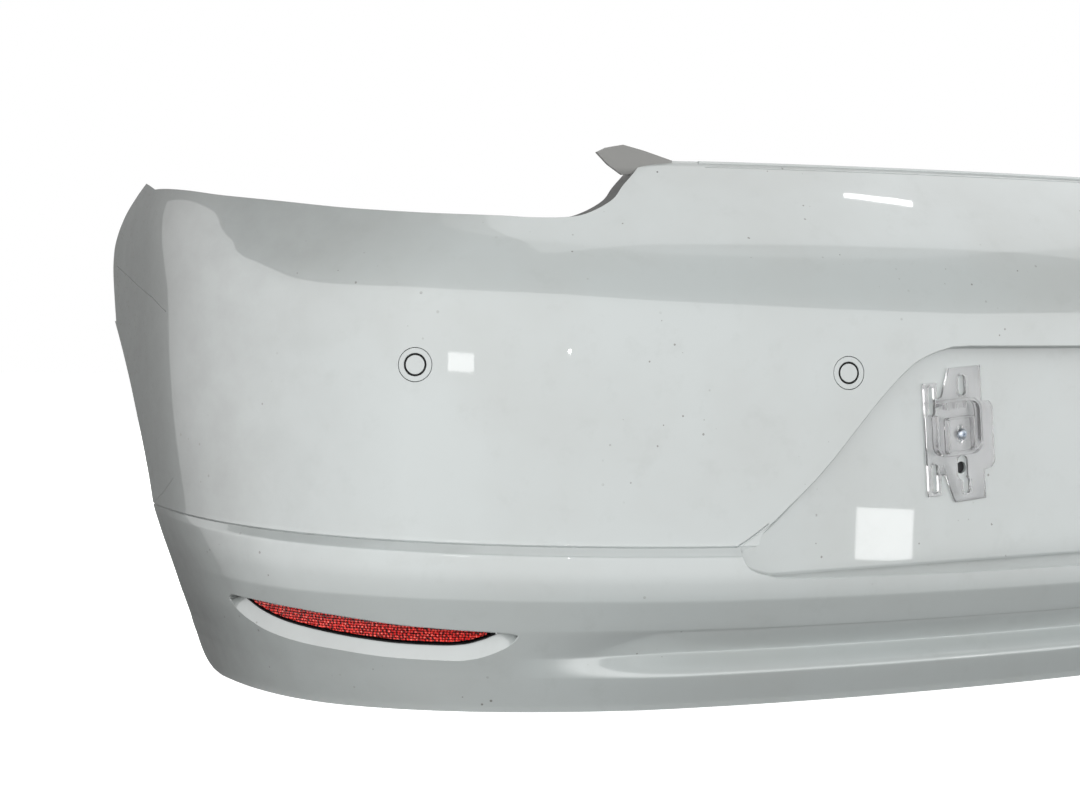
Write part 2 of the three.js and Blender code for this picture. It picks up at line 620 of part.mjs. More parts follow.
// Spring-steel clip pushed over the free edge of the arch lip, for a screw of the arch liner.
function addArchClip(side, name, z) {
  const rise = z - ARCH.z;
  const reach = ARCH.radius + WALL / 2;
  const y = ARCH.y - Math.sqrt(reach ** 2 - rise ** 2);
  const index = plan.findIndex((place) => place.y > y);
  const run = -side * index * PLAN.step;
  const edge = pointAt(run, insetAt(run, z) + ARCH_LIP.depth, z);
  const radial = new THREE.Vector3(0, (y - ARCH.y) / reach, rise / reach);
  const inward = new THREE.Vector3(-side, 0, 0);
  const tangent = new THREE.Vector3().crossVectors(radial, inward);
  const frame = new THREE.Matrix4().makeBasis(inward, tangent, radial).setPosition(edge.x, y, z);
  const { length, width, sheet, overhang } = CLIP;
  const slot = WALL + 2 * CLIP.play;
  const middle = overhang - length / 2;
  const body = box([length, width, slot + 2 * sheet], [middle, 0, 0], frame);
  const mouth = box([length, width + 2, slot], [middle - sheet, 0, 0], frame);
  const nutFrame = new THREE.Matrix4().makeTranslation(middle, 0, 0).premultiply(frame);
  const nut = cylinder(CLIP.nut, slot / 2 + sheet - 0.2, slot / 2 + sheet + 3, nutFrame, 12);
  addPiece(`arch_clip_${name}`, body.subtract(mouth).add(nut), zinc);
}

// ---------------------------------------------------------------- assembly

addPiece('bumper_cover', bumperCover(), paint);
for (const [side, name] of [[1, 'left'], [-1, 'right']]) addReflector(side, name);
SENSORS.forEach(addSensor);
for (const [side, name] of [[-1, 'left'], [1, 'right']]) addBracket(side, name);
addTowEyeCover();
for (const [side, name] of [[-1, 'left'], [1, 'right']]) {
  addArchClip(side, `lower_${name}`, CLIP.low);
  addArchClip(side, `upper_${name}`, CLIP.high);
}

// The frame's origin is the middle of the box in plan, on the ground plane.
group.position.y = -new THREE.Box3().setFromObject(group).getCenter(new THREE.Vector3()).y;
group.updateMatrixWorld(true);

export default group;
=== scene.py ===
"""Rear bumper cover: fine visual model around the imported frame.

Shapes are worked out in millimetres in the moulding's own axes: X right as seen from behind the
car, -Y towards the viewer of the painted side, Z up from the ground, with the belt line's rearmost
point at Y = 0. A finished piece is moved into the frame, in metres, when it is settled on its body.
"""
import bpy
import bmesh
import math
import numpy as np
from mathutils import Matrix, Vector


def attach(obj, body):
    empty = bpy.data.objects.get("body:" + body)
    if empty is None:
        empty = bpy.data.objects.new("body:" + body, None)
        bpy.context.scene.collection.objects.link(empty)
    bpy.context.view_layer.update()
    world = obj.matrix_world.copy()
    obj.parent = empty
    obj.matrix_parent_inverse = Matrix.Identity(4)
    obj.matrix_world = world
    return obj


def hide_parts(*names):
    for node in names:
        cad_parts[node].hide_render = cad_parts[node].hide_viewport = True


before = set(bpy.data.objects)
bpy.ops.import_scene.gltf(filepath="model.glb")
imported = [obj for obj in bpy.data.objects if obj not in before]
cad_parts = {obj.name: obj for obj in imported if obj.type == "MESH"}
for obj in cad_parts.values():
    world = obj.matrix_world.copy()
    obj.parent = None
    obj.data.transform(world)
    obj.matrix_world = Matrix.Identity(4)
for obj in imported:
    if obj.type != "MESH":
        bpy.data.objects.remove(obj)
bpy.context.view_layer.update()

# ---------------------------------------------------------------- driving dimensions

MM = 0.001
SHIFT_Y = -270.916        # from the belt line's rearmost point to the middle of the part's box
WALL = 3.0
HALF_LENGTH = 1210
HEIGHT = 509.0
PLAN = {"base": 4.6e-4, "peak": 2.3e-3, "corner": 925, "spread": 325, "fade": (1030, 1110), "step": 2}

# Upright section: height, then inset from the belt line in the middle, at the cheek and at the flank.
SECTION = np.array([
    [0, 30, 30, 53], [34, 12, 17, 44], [38, 14, 15.5, 42.5], [52, 31, 9.5, 38], [78, 4, -1, 27.5],
    [106, -10, -10, 17.5], [126, -11.5, -11.5, 10.5], [146, -10, -10, 4.5], [153, 0.5, 0.5, 3],
    [260, 5, 5, -4], [320, 8.5, 8.5, -5], [350, 11, 11, -4.5], [375, 15.5, 15.5, -4],
    [400, 26, 26, -3.5], [425, 43, 43, -2.5], [450, 64, 64, 0], [476, 87, 87, 6],
    [503, 112, 112, 18], [505, 115.5, 115.5, 19.5], [509, 124, 124, 24],
])
CREASES = (34, 52, 78, 106, 146, 153, 503, 505)
CREASE_ROUNDING = 1.1     # standard deviation of the blur that rounds the creases, along the height
LIP_FADE = (470, 655)
FLANK_FADE = (800, 1080)
RISE = {"from": 440, "span": 640, "height": 16, "power": 1.3}
LIP_BOW = {"reach": 520, "depth": 13, "full": 52, "none": 78}

ARCH = {"y": 800, "z": 95, "radius": 362}
LAMP_EDGE = [
    (-471, 503), (-478, 496), (-496, 481), (-510, 468), (-533, 456), (-553, 450.5), (-585, 449.5),
    (-611, 451), (-674, 454), (-729, 459.5), (-776, 466), (-824, 473), (-849, 479),
]
FLANK_EDGE = [
    (380, 478.5), (398, 482), (414, 487), (432, 496), (456, 504), (482, 508.5), (490, 496),
    (504, 480), (524, 463), (546, 438), (553, 419), (552, 395), (541, 352),
]
LOWER_CORNER = [(442, 55), (439, 30), (431, 13), (415, 3.5), (392, 0)]

PLATE = {"floor": 42.0, "top": 333.0, "bottom": 126.0, "ledge": 404.0, "drop": 6.0, "slant": 72}
# Block that the tub behind the plate is cut from: runs, heights, and depth behind the skin.
TUB = {"runs": (-520, 520), "heights": (80, 425), "depths": (1.0, 75)}
PLATE_EDGE = [
    (-217, 332), (-240, 325), (-262, 313), (-296, 281), (-352, 218), (-398, 176), (-425, 157),
    (-434, 148), (-427, 134), (-404, 126),
]

# Reflector pocket: edges of its mouth and lower edge of the lens, as (run, height).
POCKET_LOW = [
    (637, 75), (640, 70), (650, 62.3), (674, 53), (692, 50.4), (726, 50.6), (764, 52), (804, 55.6),
    (848, 59.5), (886, 65.5), (912, 74), (928, 82), (936, 91),
]
POCKET_HIGH = [
    (637, 75.6), (642, 76.9), (652, 78.2), (686, 80), (741, 83.3), (798, 88.9), (856, 93.4),
    (916, 95.6), (930, 95.4), (936, 92.4),
]
LENS_LOW = [
    (656, 77.2), (670, 71), (687, 66.4), (706, 65), (743, 65.4), (782, 68), (826, 72.7), (867, 78),
    (896, 85), (918, 94),
]
LENS_DEPTH = 10.0
PRISM = {"pitch": 2.6, "height": 0.7}
CHARACTER_LINE = {"runs": (438, 1130), "height": 153, "width": 1.7, "depth": 1.6}
SEAM = {"height": 502.8, "reach": 436, "width": 2.4, "depth": 2.4}
# Where the recess runs out at its outer corners, its rim goes on as a groove
RIM_END = (((408, 173), (417, 166.5), (428, 159), (438, 153)), 1.4, 1.1)
# Worn lines at the left flank: points of run and height, then width and depth
CRACKS = (
    (((1176, 409), (1132, 396.5), (1093, 385), (1057, 375), (1027, 362)), 1.0, 0.8),
    (((1083, 168), (1047, 183.5), (1020, 200)), 0.5, 0.4),
)

SENSORS = {
    "outer_left": (731, 315.6), "inner_left": (328, 309),
    "inner_right": (-328, 309), "outer_right": (-731, 315.6),
}
SENSOR = {"hole": 15.6, "ring": 15.1, "bore": 10.3, "face": 8.6, "barrel": 12.3, "back": -24}
# Turned profiles of radius and height, from the front edge inwards to the back.
HOLDER_BACK = [(15.1, -4.4), (18.5, -4.4), (18.5, -6.2), (15.1, -6.2), (15.1, -20), (12.9, -20), (12.9, -6.4)]
NUT_PROFILE = [(2.7, -3.3), (8, -3.3), (8, -5), (4.6, -5), (4.0, -15), (2.7, -15)]
# Profile of the screw above its seat, then of its shank.
SCREW_HEAD = [(0.4, 3.4), (2.4, 3.3), (4.2, 2.7), (5.2, 1.4), (5.4, 0.4), (5.2, 0), (2.4, 0)]
SCREW_SHANK = [(2.4, -15), (1.6, -16), (0.4, -16)]
SOCKET = {"radius": 2.05, "lobe": 0.42, "lobes": 6, "points": 72}
BRACKET = {"x": 189, "z": 249, "tilt": 5, "base": 2.5, "boss": 11}
PAINT_DEPTH = 2.5          # how far the paint reaches round the sensors and their holders
BRACKET_OUTLINE = [
    (-11, 64), (-21, 38), (-26.5, 36), (-26.5, 52), (-41.5, 52), (-41.5, -56), (-26.5, -56),
    (-26.5, -37), (-21, -37), (-10, -65), (26.5, -65), (26.5, -37), (35, -36), (39.5, -31), (39.5, 24),
    (35, 29), (26.5, 29), (26.5, 64),
]
# Slots of the left bracket: middle, half width and half length.
BRACKET_SLOTS = ((-34, 35, 3.8, 14), (-34, -39, 3.8, 14), (3, 47, 4.5, 10), (3, -50, 4.5, 8))
BRACKET_RIBS = (-20, -8, 4)
SPARE_HOLE = {"drop": 32.5, "radius": 5.8}
TOW = {"run": -560, "z": 218, "half_width": 31, "half_height": 29, "corner": 12, "gap": 1}
ARCH_LIP = {"depth": 16.0, "runs": (1040, HALF_LENGTH), "heights": (3, 500)}
LAMP_LIP = {"depth": 20.0, "runs": (460, 1150), "heights": (425, 508), "back": 385}
# Tab at the top corner of the left lamp cut-out, and the rib behind its upper edge, in X and Z.
LAMP_TAB = [
    (-436, 500), (-474, 494), (-490, 493), (-505, 502), (-517, 512.8), (-507, 517.6), (-499, 519.3),
    (-489, 521.2), (-467, 516.8), (-436, 508.8),
]
LAMP_TAB_RIB = [(-489, 518.5), (-489, 521.2), (-467, 516.8), (-436, 508.8), (-436, 505.8), (-467, 514)]
LAMP_TAB_DEPTHS = {"front": 169, "plate": 172, "rib": 186}
# Where the cutting tools end, clear of the skin.
BEYOND = {"side": 1000, "back": 700, "top": 640, "front": -60, "foot": -20, "corner": 520}
FLANK_INSIDE = 846          # distance from the middle at which the flank tool starts
TOP_FLANGE = {"reach": 440, "depth": 30, "thick": 3, "lap": 4.5, "slots": range(-360, 361, 120), "line": 16}
FOOT_FLANGE = {
    "reach": 905, "depth": 26, "thick": 3, "lap": -0.8,
    "holes": (-780, -470, -160, 160, 470, 780), "line": 15,
}

# How close to the moulded faces a corner lies, in mm and as a cosine, to take their normal.
MATCH = {"front": 0.12, "back": 0.35, "cosine": 0.93, "level": 0.9999}
# Axes, the material indices of a face, and the number of sections along the skin.
X, Y = 0, 1
PAINTED, PLAIN = 0, 1
COLUMNS = 285

# Heights in the frame between which the bare plastic turns pale, and places along Y between which
# the paint darkens towards the flank, with grime and painted shade, and then grows specked.
OVERSPRAY, FLANK_SHADE_AND_GRIME, FLANK_DIRT = (0.488, 0.500), (-0.11, 0.13), (0.12, 0.28)
# Finishes that follow one noise: its scale, detail and roughness; its values at the two colours; the
# colours; the roughness range; scale, detail and strength of the relief; settings of the shader.
EVEN_FINISHES = {
    "black_plastic": (
        (120, 4), (0, 1), ((0.006, 0.006, 0.007), (0.016, 0.016, 0.017)), (0.34, 0.5), (2200, 2, 0.15), {},
    ),
    "silicone": (
        (300, 4), (0, 1), ((0.004, 0.004, 0.004), (0.012, 0.012, 0.012)), (0.6, 0.8), (3000, 2, 0.2),
        {"Specular_IOR_Level": 0.3},
    ),
    "zinc": (
        (260, 5, 0.65), (0.4, 0.7), ((0.60, 0.66, 0.74), (0.36, 0.38, 0.40)), (0.22, 0.42), (900, 3, 0.1),
        {"Metallic": 1.0},
    ),
    "spring_steel": (
        (180, 5, 0.7), (0.45, 0.7), ((0.20, 0.20, 0.21), (0.14, 0.09, 0.06)), (0.35, 0.55), (700, 3, 0.2),
        {"Metallic": 1.0},
    ),
}

# Studio: radiances in render units; azimuth 0 is straight ahead of the part, left is negative.
ROOM_LOW, ROOM_HIGH = 0.06, 0.22
ROOM_SINE = (-0.5, 0.3)             # sines of elevation between which the room brightens
BACKDROP_STRENGTH = 1.0
OVERHEAD_STRENGTH, OVERHEAD_SPREAD = 0.4, 60
FLOOR_SIZE, FLOOR_GLOW = 9.0, 0.72
PANEL_RADIUS, PANEL_RADIANCE, PANEL_FOOT, PANEL_FADE = 2.6, 1.95, -1.15, 1.25
PANEL_REAR = ((1.45, 0.45), (0.3, 1.0))     # place along Y and share of the radiance
PANEL_TOP = ((-124, 18), (-95, 30), (-60, 34), (-30, 32), (0, 24), (25, 18), (95, 14))
PART_MIDDLE = 0.3                   # height that elevations are measured from
LAMP_TARGET = (-0.4, -0.2, 0.3)
FILL_LAMPS = ("rear_panel",)        # these light the part but do not mirror in it
# Each lamp: name, azimuth, elevation, distance, width and height, radiance.
LAMPS = (
    ("ceiling_panel", 90, 67, 2.6, (1.7, 4.6), 0.9),
    ("rear_panel", 180, 28, 3.6, (5.0, 2.4), 3.2),
    ("window_lamp", -47.3, 5.2, 2.55, (0.23, 0.06), 5.0),
    ("bulb", -28.4, 6.6, 2.38, (0.02, 0.02), 40.0),
    ("tube", 67, 67, 2.07, (0.03, 0.22), 14.0),
    ("low_lamp", 13.6, -15.6, 0.92, (0.08, 0.075), 5.0),
)
CAMERA = {
    "place": (-1.205, (-1172 + SHIFT_Y) * MM, 0.356),
    "yaw": 25.2, "pitch": 3.05, "roll": -0.33, "lens": 53.33,
}

# ---------------------------------------------------------------- the moulded surface


def smooth(edges, value):
    """0 before the first edge, 1 after the second, and a soft turn between them."""
    t = np.clip((value - edges[0]) / (edges[1] - edges[0]), 0, 1)
    return t * t * (3 - 2 * t)


def belt_line():
    """Run, place and heading along the left half of the belt line, one column for each step."""
    x = y = heading = 0.0
    rows = []
    for run in range(0, HALF_LENGTH + 60, PLAN["step"]):
        rows.append((run, x, y, heading))
        bump = math.exp(-(((run - PLAN["corner"]) / PLAN["spread"]) ** 2))
        fade = 1 - float(smooth(PLAN["fade"], run))
        heading += (PLAN["base"] + PLAN["peak"] * bump) * fade * PLAN["step"]
        x -= math.cos(heading) * PLAN["step"]
        y += math.sin(heading) * PLAN["step"]
    return np.array(rows).T


BELT = belt_line()


def belt_at(run):
    """Place on the belt line and the inward direction there; a positive run lies on the left."""
    run = np.asarray(run, float)
    side = np.where(run < 0, -1.0, 1.0)
    far = np.abs(run)
    heading = np.interp(far, BELT[0], BELT[3])
    x = side * np.interp(far, BELT[0], BELT[1])
    y = np.interp(far, BELT[0], BELT[2])
    return x, y, side * np.sin(heading), np.cos(heading)


def climb(run, height):
    """How far the creases climb towards the wheel arch at one height of the section."""
    amount = RISE["height"] * np.maximum((np.abs(run) - RISE["from"]) / RISE["span"], 0) ** RISE["power"]
    share = np.interp(height, (0, 60, 153, 260, 503), (0, 0.3, 1, 1, 0))
    return amount * share


def monotone(xs, ys, at):
    """Cubic curve through the points that never overshoots them."""
    xs, ys = np.asarray(xs, float), np.asarray(ys, float)
    gaps = np.diff(xs)
    slopes = np.diff(ys) / gaps
    tangents = np.concatenate([slopes[:1], np.zeros(len(xs) - 2), slopes[-1:]])
    for i in range(1, len(xs) - 1):
        if slopes[i - 1] * slopes[i] > 0:
            a, b = gaps[i - 1] + 2 * gaps[i], 2 * gaps[i - 1] + gaps[i]
            tangents[i] = (a + b) / (a / slopes[i] + b / slopes[i - 1])
    i = np.clip(np.searchsorted(xs, at, side="right") - 1, 0, len(xs) - 2)
    t = (at - xs[i]) / gaps[i]
    rise = ys[i] + t * gaps[i] * tangents[i]
    bend = 3 * slopes[i] - 2 * tangents[i] - tangents[i + 1]
    twist = tangents[i] + tangents[i + 1] - 2 * slopes[i]
    return rise + t * t * gaps[i] * (bend + t * twist)


TABLE_STEP = 0.25
TABLE_HEIGHTS = np.arange(0, HEIGHT + TABLE_STEP / 2, TABLE_STEP)


def section_table(column):
    """One column of the section at every table height, smooth between creases and blurred at them."""
    values = np.zeros(len(TABLE_HEIGHTS))
    marks = (0, *CREASES, HEIGHT)
    for low, high in zip(marks, marks[1:]):
        rows = SECTION[(SECTION[:, 0] >= low) & (SECTION[:, 0] <= high)]
        inside = (TABLE_HEIGHTS >= low) & (TABLE_HEIGHTS <= high)
        values[inside] = monotone(rows[:, 0], rows[:, column], TABLE_HEIGHTS[inside])
    reach = int(3 * CREASE_ROUNDING / TABLE_STEP)
    kernel = np.exp(-0.5 * (np.arange(-reach, reach + 1) * TABLE_STEP / CREASE_ROUNDING) ** 2)
    padded = np.concatenate([
        2 * values[0] - values[reach:0:-1], values, 2 * values[-1] - values[-2:-reach - 2:-1],
    ])
    return np.convolve(padded, kernel / kernel.sum(), mode="valid")


MIDDLE, CHEEK, FLANK = (section_table(column) for column in (1, 2, 3))


def inset_at(run, height):
    """Inset of the painted surface from the belt line, at a height of the section."""
    lip = 1 - smooth(LIP_FADE, np.abs(run))
    side = smooth(FLANK_FADE, np.abs(run))
    middle, cheek, flank = (np.interp(height, TABLE_HEIGHTS, t) for t in (MIDDLE, CHEEK, FLANK))
    rear = cheek + (middle - cheek) * lip
    bow = LIP_BOW["depth"] * np.maximum(0, 1 - (run / LIP_BOW["reach"]) ** 2)
    low = np.interp(height, (LIP_BOW["full"], LIP_BOW["none"]), (1, 0))
    return rear + (flank - rear) * side + bow * low


def section_height(run, z):
    """Height of the section that lies at a true height, once the climb is taken off."""
    height = np.asarray(z, float) - climb(run, z)
    for _ in range(4):
        height = z - climb(run, height)
    return height


def place(run, inset, z):
    """Point at an inset from the belt line."""
    x, y, in_x, in_y = belt_at(run)
    return np.stack(np.broadcast_arrays(x + in_x * inset, y + in_y * inset, z), axis=-1)


def surface(run, z, depth=0.0):
    """Point behind the painted surface, measured level, at a run and a true height."""
    run, z = np.broadcast_arrays(np.asarray(run, float), np.asarray(z, float))
    return place(run, inset_at(run, section_height(run, z)) + depth, z)


def surface_normal(run, z, reach=0.4):
    """Direction out of the painted surface."""
    along = surface(run + reach, z) - surface(run - reach, z)
    up = surface(run, z + reach) - surface(run, z - reach)
    normal = np.cross(up, along)
    return normal / np.linalg.norm(normal, axis=-1, keepdims=True)


def run_where(axis, value, z, low, high):
    """Run between low and high where the surface at height z reaches a value of X or Y."""
    value, z = np.broadcast_arrays(np.asarray(value, float), np.asarray(z, float))
    low, high = np.full(value.shape, float(low)), np.full(value.shape, float(high))
    rising = surface(high, z)[..., axis] > surface(low, z)[..., axis]
    for _ in range(26):
        middle = (low + high) / 2
        beyond = (surface(middle, z)[..., axis] > value) == rising
        high = np.where(beyond, middle, high)
        low = np.where(beyond, low, middle)
    return (low + high) / 2


def run_of(points):
    """Run of any points near the moulding, from their foot on the belt line."""
    hand = np.where(points[:, 0] > 0, -1.0, 1.0)
    left = np.stack([-np.abs(points[:, 0]), points[:, 1]], axis=1)
    coarse = np.arange(0, HALF_LENGTH + 40, 20.0)
    cx, cy, *_ = belt_at(coarse)
    run = np.empty(len(left))
    for start in range(0, len(left), 20000):
        part = left[start:start + 20000]
        away = (part[:, :1] - cx) ** 2 + (part[:, 1:] - cy) ** 2
        run[start:start + 20000] = coarse[away.argmin(axis=1)]
    for _ in range(10):
        x, y, in_x, in_y = belt_at(run)
        ahead = -(left[:, 0] - x) * in_y + (left[:, 1] - y) * in_x
        run = np.clip(run + ahead * 0.8, 0, HALF_LENGTH + 40)
    return run * hand


# ---------------------------------------------------------------- meshes


def link_mesh(name, points, faces, materials):
    """Object with a new mesh, linked into the scene."""
    mesh = bpy.data.meshes.new(name)
    mesh.from_pydata(points, [], faces)
    for material in materials:
        mesh.materials.append(material)
    made = bpy.data.objects.new(name, mesh)
    bpy.context.scene.collection.objects.link(made)
    return made


def paint_faces(made, slots):
    """Sets the material index of every face."""
    made.data.polygons.foreach_set("material_index", np.array(slots, np.int32))
    return made


def recolour(made, slot):
    return paint_faces(made, [slot] * len(made.data.polygons))


def plain_behind(made, matrix, depth):
    """Leaves unpainted every face that lies deeper than this below a local frame."""
    down = matrix.inverted()
    return paint_faces(
        made, [PLAIN if (down @ face.center).z < -depth else PAINTED for face in made.data.polygons],
    )


def loft(name, rings, closed=False, slots=None):
    """Closed solid through rings of equally many points; it ends in flat faces unless it closes.

    slots gives one material index for each strip of faces along the rings.
    """
    rings = np.asarray(rings, float)
    count, size = rings.shape[:2]
    slots = [PAINTED] * size if slots is None else slots
    faces, kinds = [], []
    for i in range(count if closed else count - 1):
        a, b = i * size, ((i + 1) % count) * size
        for j in range(size):
            k = (j + 1) % size
            faces.append((a + j, a + k, b + k, b + j))
            kinds.append(slots[j])
    if not closed:
        faces.append(tuple(range(size - 1, -1, -1)))
        faces.append(tuple((count - 1) * size + j for j in range(size)))
        kinds += [max(slots)] * 2
    made = link_mesh(name, rings.reshape(-1, 3).tolist(), faces, (None, None))
    return face_outwards(paint_faces(made, kinds))


def face_outwards(made):
    """Turns a closed mesh inside out if its volume is negative."""
    work = bmesh.new()
    work.from_mesh(made.data)
    if work.calc_volume(signed=True) < 0:
        bmesh.ops.reverse_faces(work, faces=work.faces)
    work.to_mesh(made.data)
    work.free()
    return made


def moved(made, matrix):
    made.data.transform(matrix)
    return face_outwards(made)


def prism(name, outline, low, high, matrix):
    """Solid over an outline in local X and Y between two local heights, moved by a matrix."""
    outline = np.asarray(outline, float)
    rings = [np.column_stack([outline, np.full(len(outline), level)]) for level in (low, high)]
    return moved(loft(name, rings), matrix)


def apply_modifiers(made):
    before = made.data
    graph = bpy.context.evaluated_depsgraph_get()
    result = bpy.data.meshes.new_from_object(made.evaluated_get(graph))
    made.modifiers.clear()
    made.data = result
    bpy.data.meshes.remove(before)
    return made


def combine(target, operation, tools):
    """Applies booleans of closed solids and drops the tools."""
    for tool in tools:
        step = target.modifiers.new("step", "BOOLEAN")
        step.operation = operation
        step.solver = "MANIFOLD"
        step.object = tool
        apply_modifiers(target)
        spent = tool.data
        bpy.data.objects.remove(tool)
        bpy.data.meshes.remove(spent)
    return target


def cut(target, *tools):
    return combine(target, "DIFFERENCE", tools)


def add(target, *tools):
    return combine(target, "UNION", tools)


def common(target, *tools):
    return combine(target, "INTERSECT", tools)


def spline(points, steps):
    """Smooth line through the points."""
    points = np.asarray(points, float)
    ends = (2 * points[0] - points[1], 2 * points[-1] - points[-2])
    points = np.concatenate([ends[0][None], points, ends[1][None]])
    out = []
    for a, b, c, d in zip(points, points[1:], points[2:], points[3:]):
        for t in np.arange(steps) / steps:
            out.append(0.5 * (2 * b + (c - a) * t + (2 * a - 5 * b + 4 * c - d) * t * t
                              + (3 * b - a - 3 * c + d) * t ** 3))
    out.append(points[-2])
    return np.array(out)


def outline_normals(outline, closed=True):
    """Unit normals on the right-hand side of a line in a plane."""
    if closed:
        step = np.roll(outline, -1, axis=0) - np.roll(outline, 1, axis=0)
    else:
        step = np.gradient(outline, axis=0)
    step /= np.linalg.norm(step, axis=1, keepdims=True)
    return np.column_stack([step[:, 1], -step[:, 0]])


def rounded_rect(half_width, half_height, radius, steps=8, centre=(0, 0)):
    """Outline of a rectangle with round corners, anticlockwise."""
    points = []
    for sx, sy, start in ((1, 1, 0), (-1, 1, 90), (-1, -1, 180), (1, -1, 270)):
        for i in range(steps + 1):
            angle = math.radians(start + 90 * i / steps)
            x = centre[0] + sx * (half_width - radius) + radius * math.cos(angle)
            y = centre[1] + sy * (half_height - radius) + radius * math.sin(angle)
            points.append((x, y))
    return np.array(points)


def circle(radius, count=64):
    angles = np.arange(count) * 2 * math.pi / count
    return np.column_stack([radius * np.cos(angles), radius * np.sin(angles)])


def edge_tool(name, points, outward, gap_side, radius, spill=1.0, steps=5):
    """Tool that rounds the sharp edge along a closed line between a face and the wall of an opening.

    outward is the face's normal, gap_side the wall's normal, which points into the opening.
    """
    n = outward / np.linalg.norm(outward, axis=1, keepdims=True)
    m = gap_side / np.linalg.norm(gap_side, axis=1, keepdims=True)
    spread = 1 + (n * m).sum(axis=1, keepdims=True)
    centre = points - radius / spread * (n + m)
    angle = np.arccos(np.clip(spread - 1, -1, 1))
    arc = []
    for t in np.linspace(0, 1, steps + 1):
        turned_to = (np.sin((1 - t) * angle) * n + np.sin(t * angle) * m) / np.sin(angle)
        arc.append(centre + radius * turned_to)
    ring = [arc[0] + spill * n, *arc, arc[-1] + spill * m, points + spill / spread * (n + m)]
    return loft(name, np.stack(ring, axis=1), closed=True)


def surface_frame(run, z):
    """Frame on the painted surface: local X to the right, local Y up, local Z out."""
    across = surface(run - 8, z) - surface(run + 8, z)
    across /= np.linalg.norm(across)
    up = surface(run, z + 8) - surface(run, z - 8)
    out = np.cross(across, up)
    out /= np.linalg.norm(out)
    up = np.cross(out, across)
    origin = surface(run, z)
    return Matrix([(*row, origin[i]) for i, row in enumerate(zip(across, up, out))] + [(0, 0, 0, 1)])


def turned(name, profile, matrix, count=96):
    """Solid of revolution about local Z from a closed outline of (radius, height)."""
    profile = np.asarray(profile, float)
    rings = []
    for angle in np.arange(count) * 2 * math.pi / count:
        r = profile[:, 0]
        rings.append(np.column_stack([r * math.cos(angle), r * math.sin(angle), profile[:, 1]]))
    return moved(loft(name, rings, closed=True), matrix)


# ---------------------------------------------------------------- bumper cover


def section_heights(spacing, turn):
    """Heights for the rows of a grid: one for each stretch of spacing or bend of turn radians."""
    bend = np.zeros(len(TABLE_HEIGHTS))
    for table in (MIDDLE, CHEEK, FLANK):
        angle = np.arctan(np.gradient(table, TABLE_STEP))
        bend = np.maximum(bend, np.abs(np.gradient(angle, TABLE_STEP)))
    count = np.concatenate([[0], np.cumsum((1 / spacing + bend[1:] / turn) * TABLE_STEP)])
    return np.interp(np.linspace(0, count[-1], int(count[-1]) + 1), count, TABLE_HEIGHTS)


def wall_at(run, height):
    """Level thickness of the skin, which is WALL across the slope of the section."""
    reach = 3.0
    low, high = np.maximum(height - reach, 0), np.minimum(height + reach, HEIGHT)
    slope = (inset_at(run, high) - inset_at(run, low)) / (high - low)
    return WALL * np.sqrt(1 + slope ** 2)


def plain_skin():
    """The whole skin before anything is cut: painted face upwards, then the inner face downwards."""
    fine, coarse = section_heights(9, 0.2), section_heights(14, 0.4)
    rings = []
    for run in np.linspace(-HALF_LENGTH, HALF_LENGTH, COLUMNS):
        front = place(run, inset_at(run, fine), fine + climb(run, fine))
        depth = inset_at(run, coarse) + wall_at(run, coarse)
        back = place(run, depth, coarse + climb(run, coarse))
        rings.append(np.concatenate([front, back[::-1]]))
    slots = [PAINTED] * (len(fine) - 1) + [PLAIN] * len(coarse) + [PAINTED]
    return loft("bumper_skin", rings, slots=slots)


def band(name, runs, heights, front, back):
    """Solid between two depths behind the painted surface."""
    rings = []
    for run in runs:
        near = surface(run, heights, front)
        far = surface(run, heights, back)
        rings.append(np.concatenate([near, far[::-1]]))
    return loft(name, rings, slots=[PLAIN] * (2 * len(heights)))


def along(axis, name, outline, near, far):
    """Prism between two values of X or Y over an outline in the other one and Z."""
    rings = [np.insert(np.asarray(outline, float), axis, value, axis=1) for value in (near, far)]
    return loft(name, rings)


def mirrored(outline):
    return (np.asarray(outline) * (-1, 1))[::-1]


def lamp_edge(grow=0.0):
    """Edge under the left tail lamp, in X and Z, moved by grow into the skin."""
    line = spline(LAMP_EDGE, 5)
    line = np.concatenate([line[:1] + (9, 9), line, line[-1:] + (-20, 5)])
    return line - grow * outline_normals(line, closed=False)


def handed(outline, side):
    """An outline of the left half, mirrored for the right."""
    outline = np.asarray(outline, float)
    return outline if side < 0 else mirrored(outline)


def lamp_tool(side, grow=0.0, back=500):
    line = lamp_edge(grow)
    outline = np.concatenate([line, [(line[-1, 0], BEYOND["top"]), (line[0, 0], BEYOND["top"])]])
    return along(Y, "lamp_tool", handed(outline, side), 60, back)


def flank_tool(side):
    """Cuts the skin off along its upper rear edge, where it meets the quarter panel."""
    back, top = BEYOND["back"], BEYOND["top"]
    corners = [(back, FLANK_EDGE[-1][1]), (back, top), (FLANK_EDGE[0][0], top)]
    outline = np.concatenate([spline(FLANK_EDGE, 4), corners])
    return along(X, "flank_tool", outline, *sorted((side * FLANK_INSIDE, side * BEYOND["side"])))


def corner_tool():
    """Rounds the lower front corners of the wheel arches."""
    corners = [(LOWER_CORNER[-1][0], BEYOND["foot"]), (BEYOND["corner"], BEYOND["foot"]),
               (BEYOND["corner"], LOWER_CORNER[0][1])]
    outline = np.concatenate([spline(LOWER_CORNER, 5), corners])
    return along(X, "corner_tool", outline, -BEYOND["side"], BEYOND["side"])


def arch_tool(grow=0.0):
    outline = circle(ARCH["radius"] + grow, 240) + (ARCH["y"], ARCH["z"])
    return along(X, "arch_tool", outline, -BEYOND["side"], BEYOND["side"])


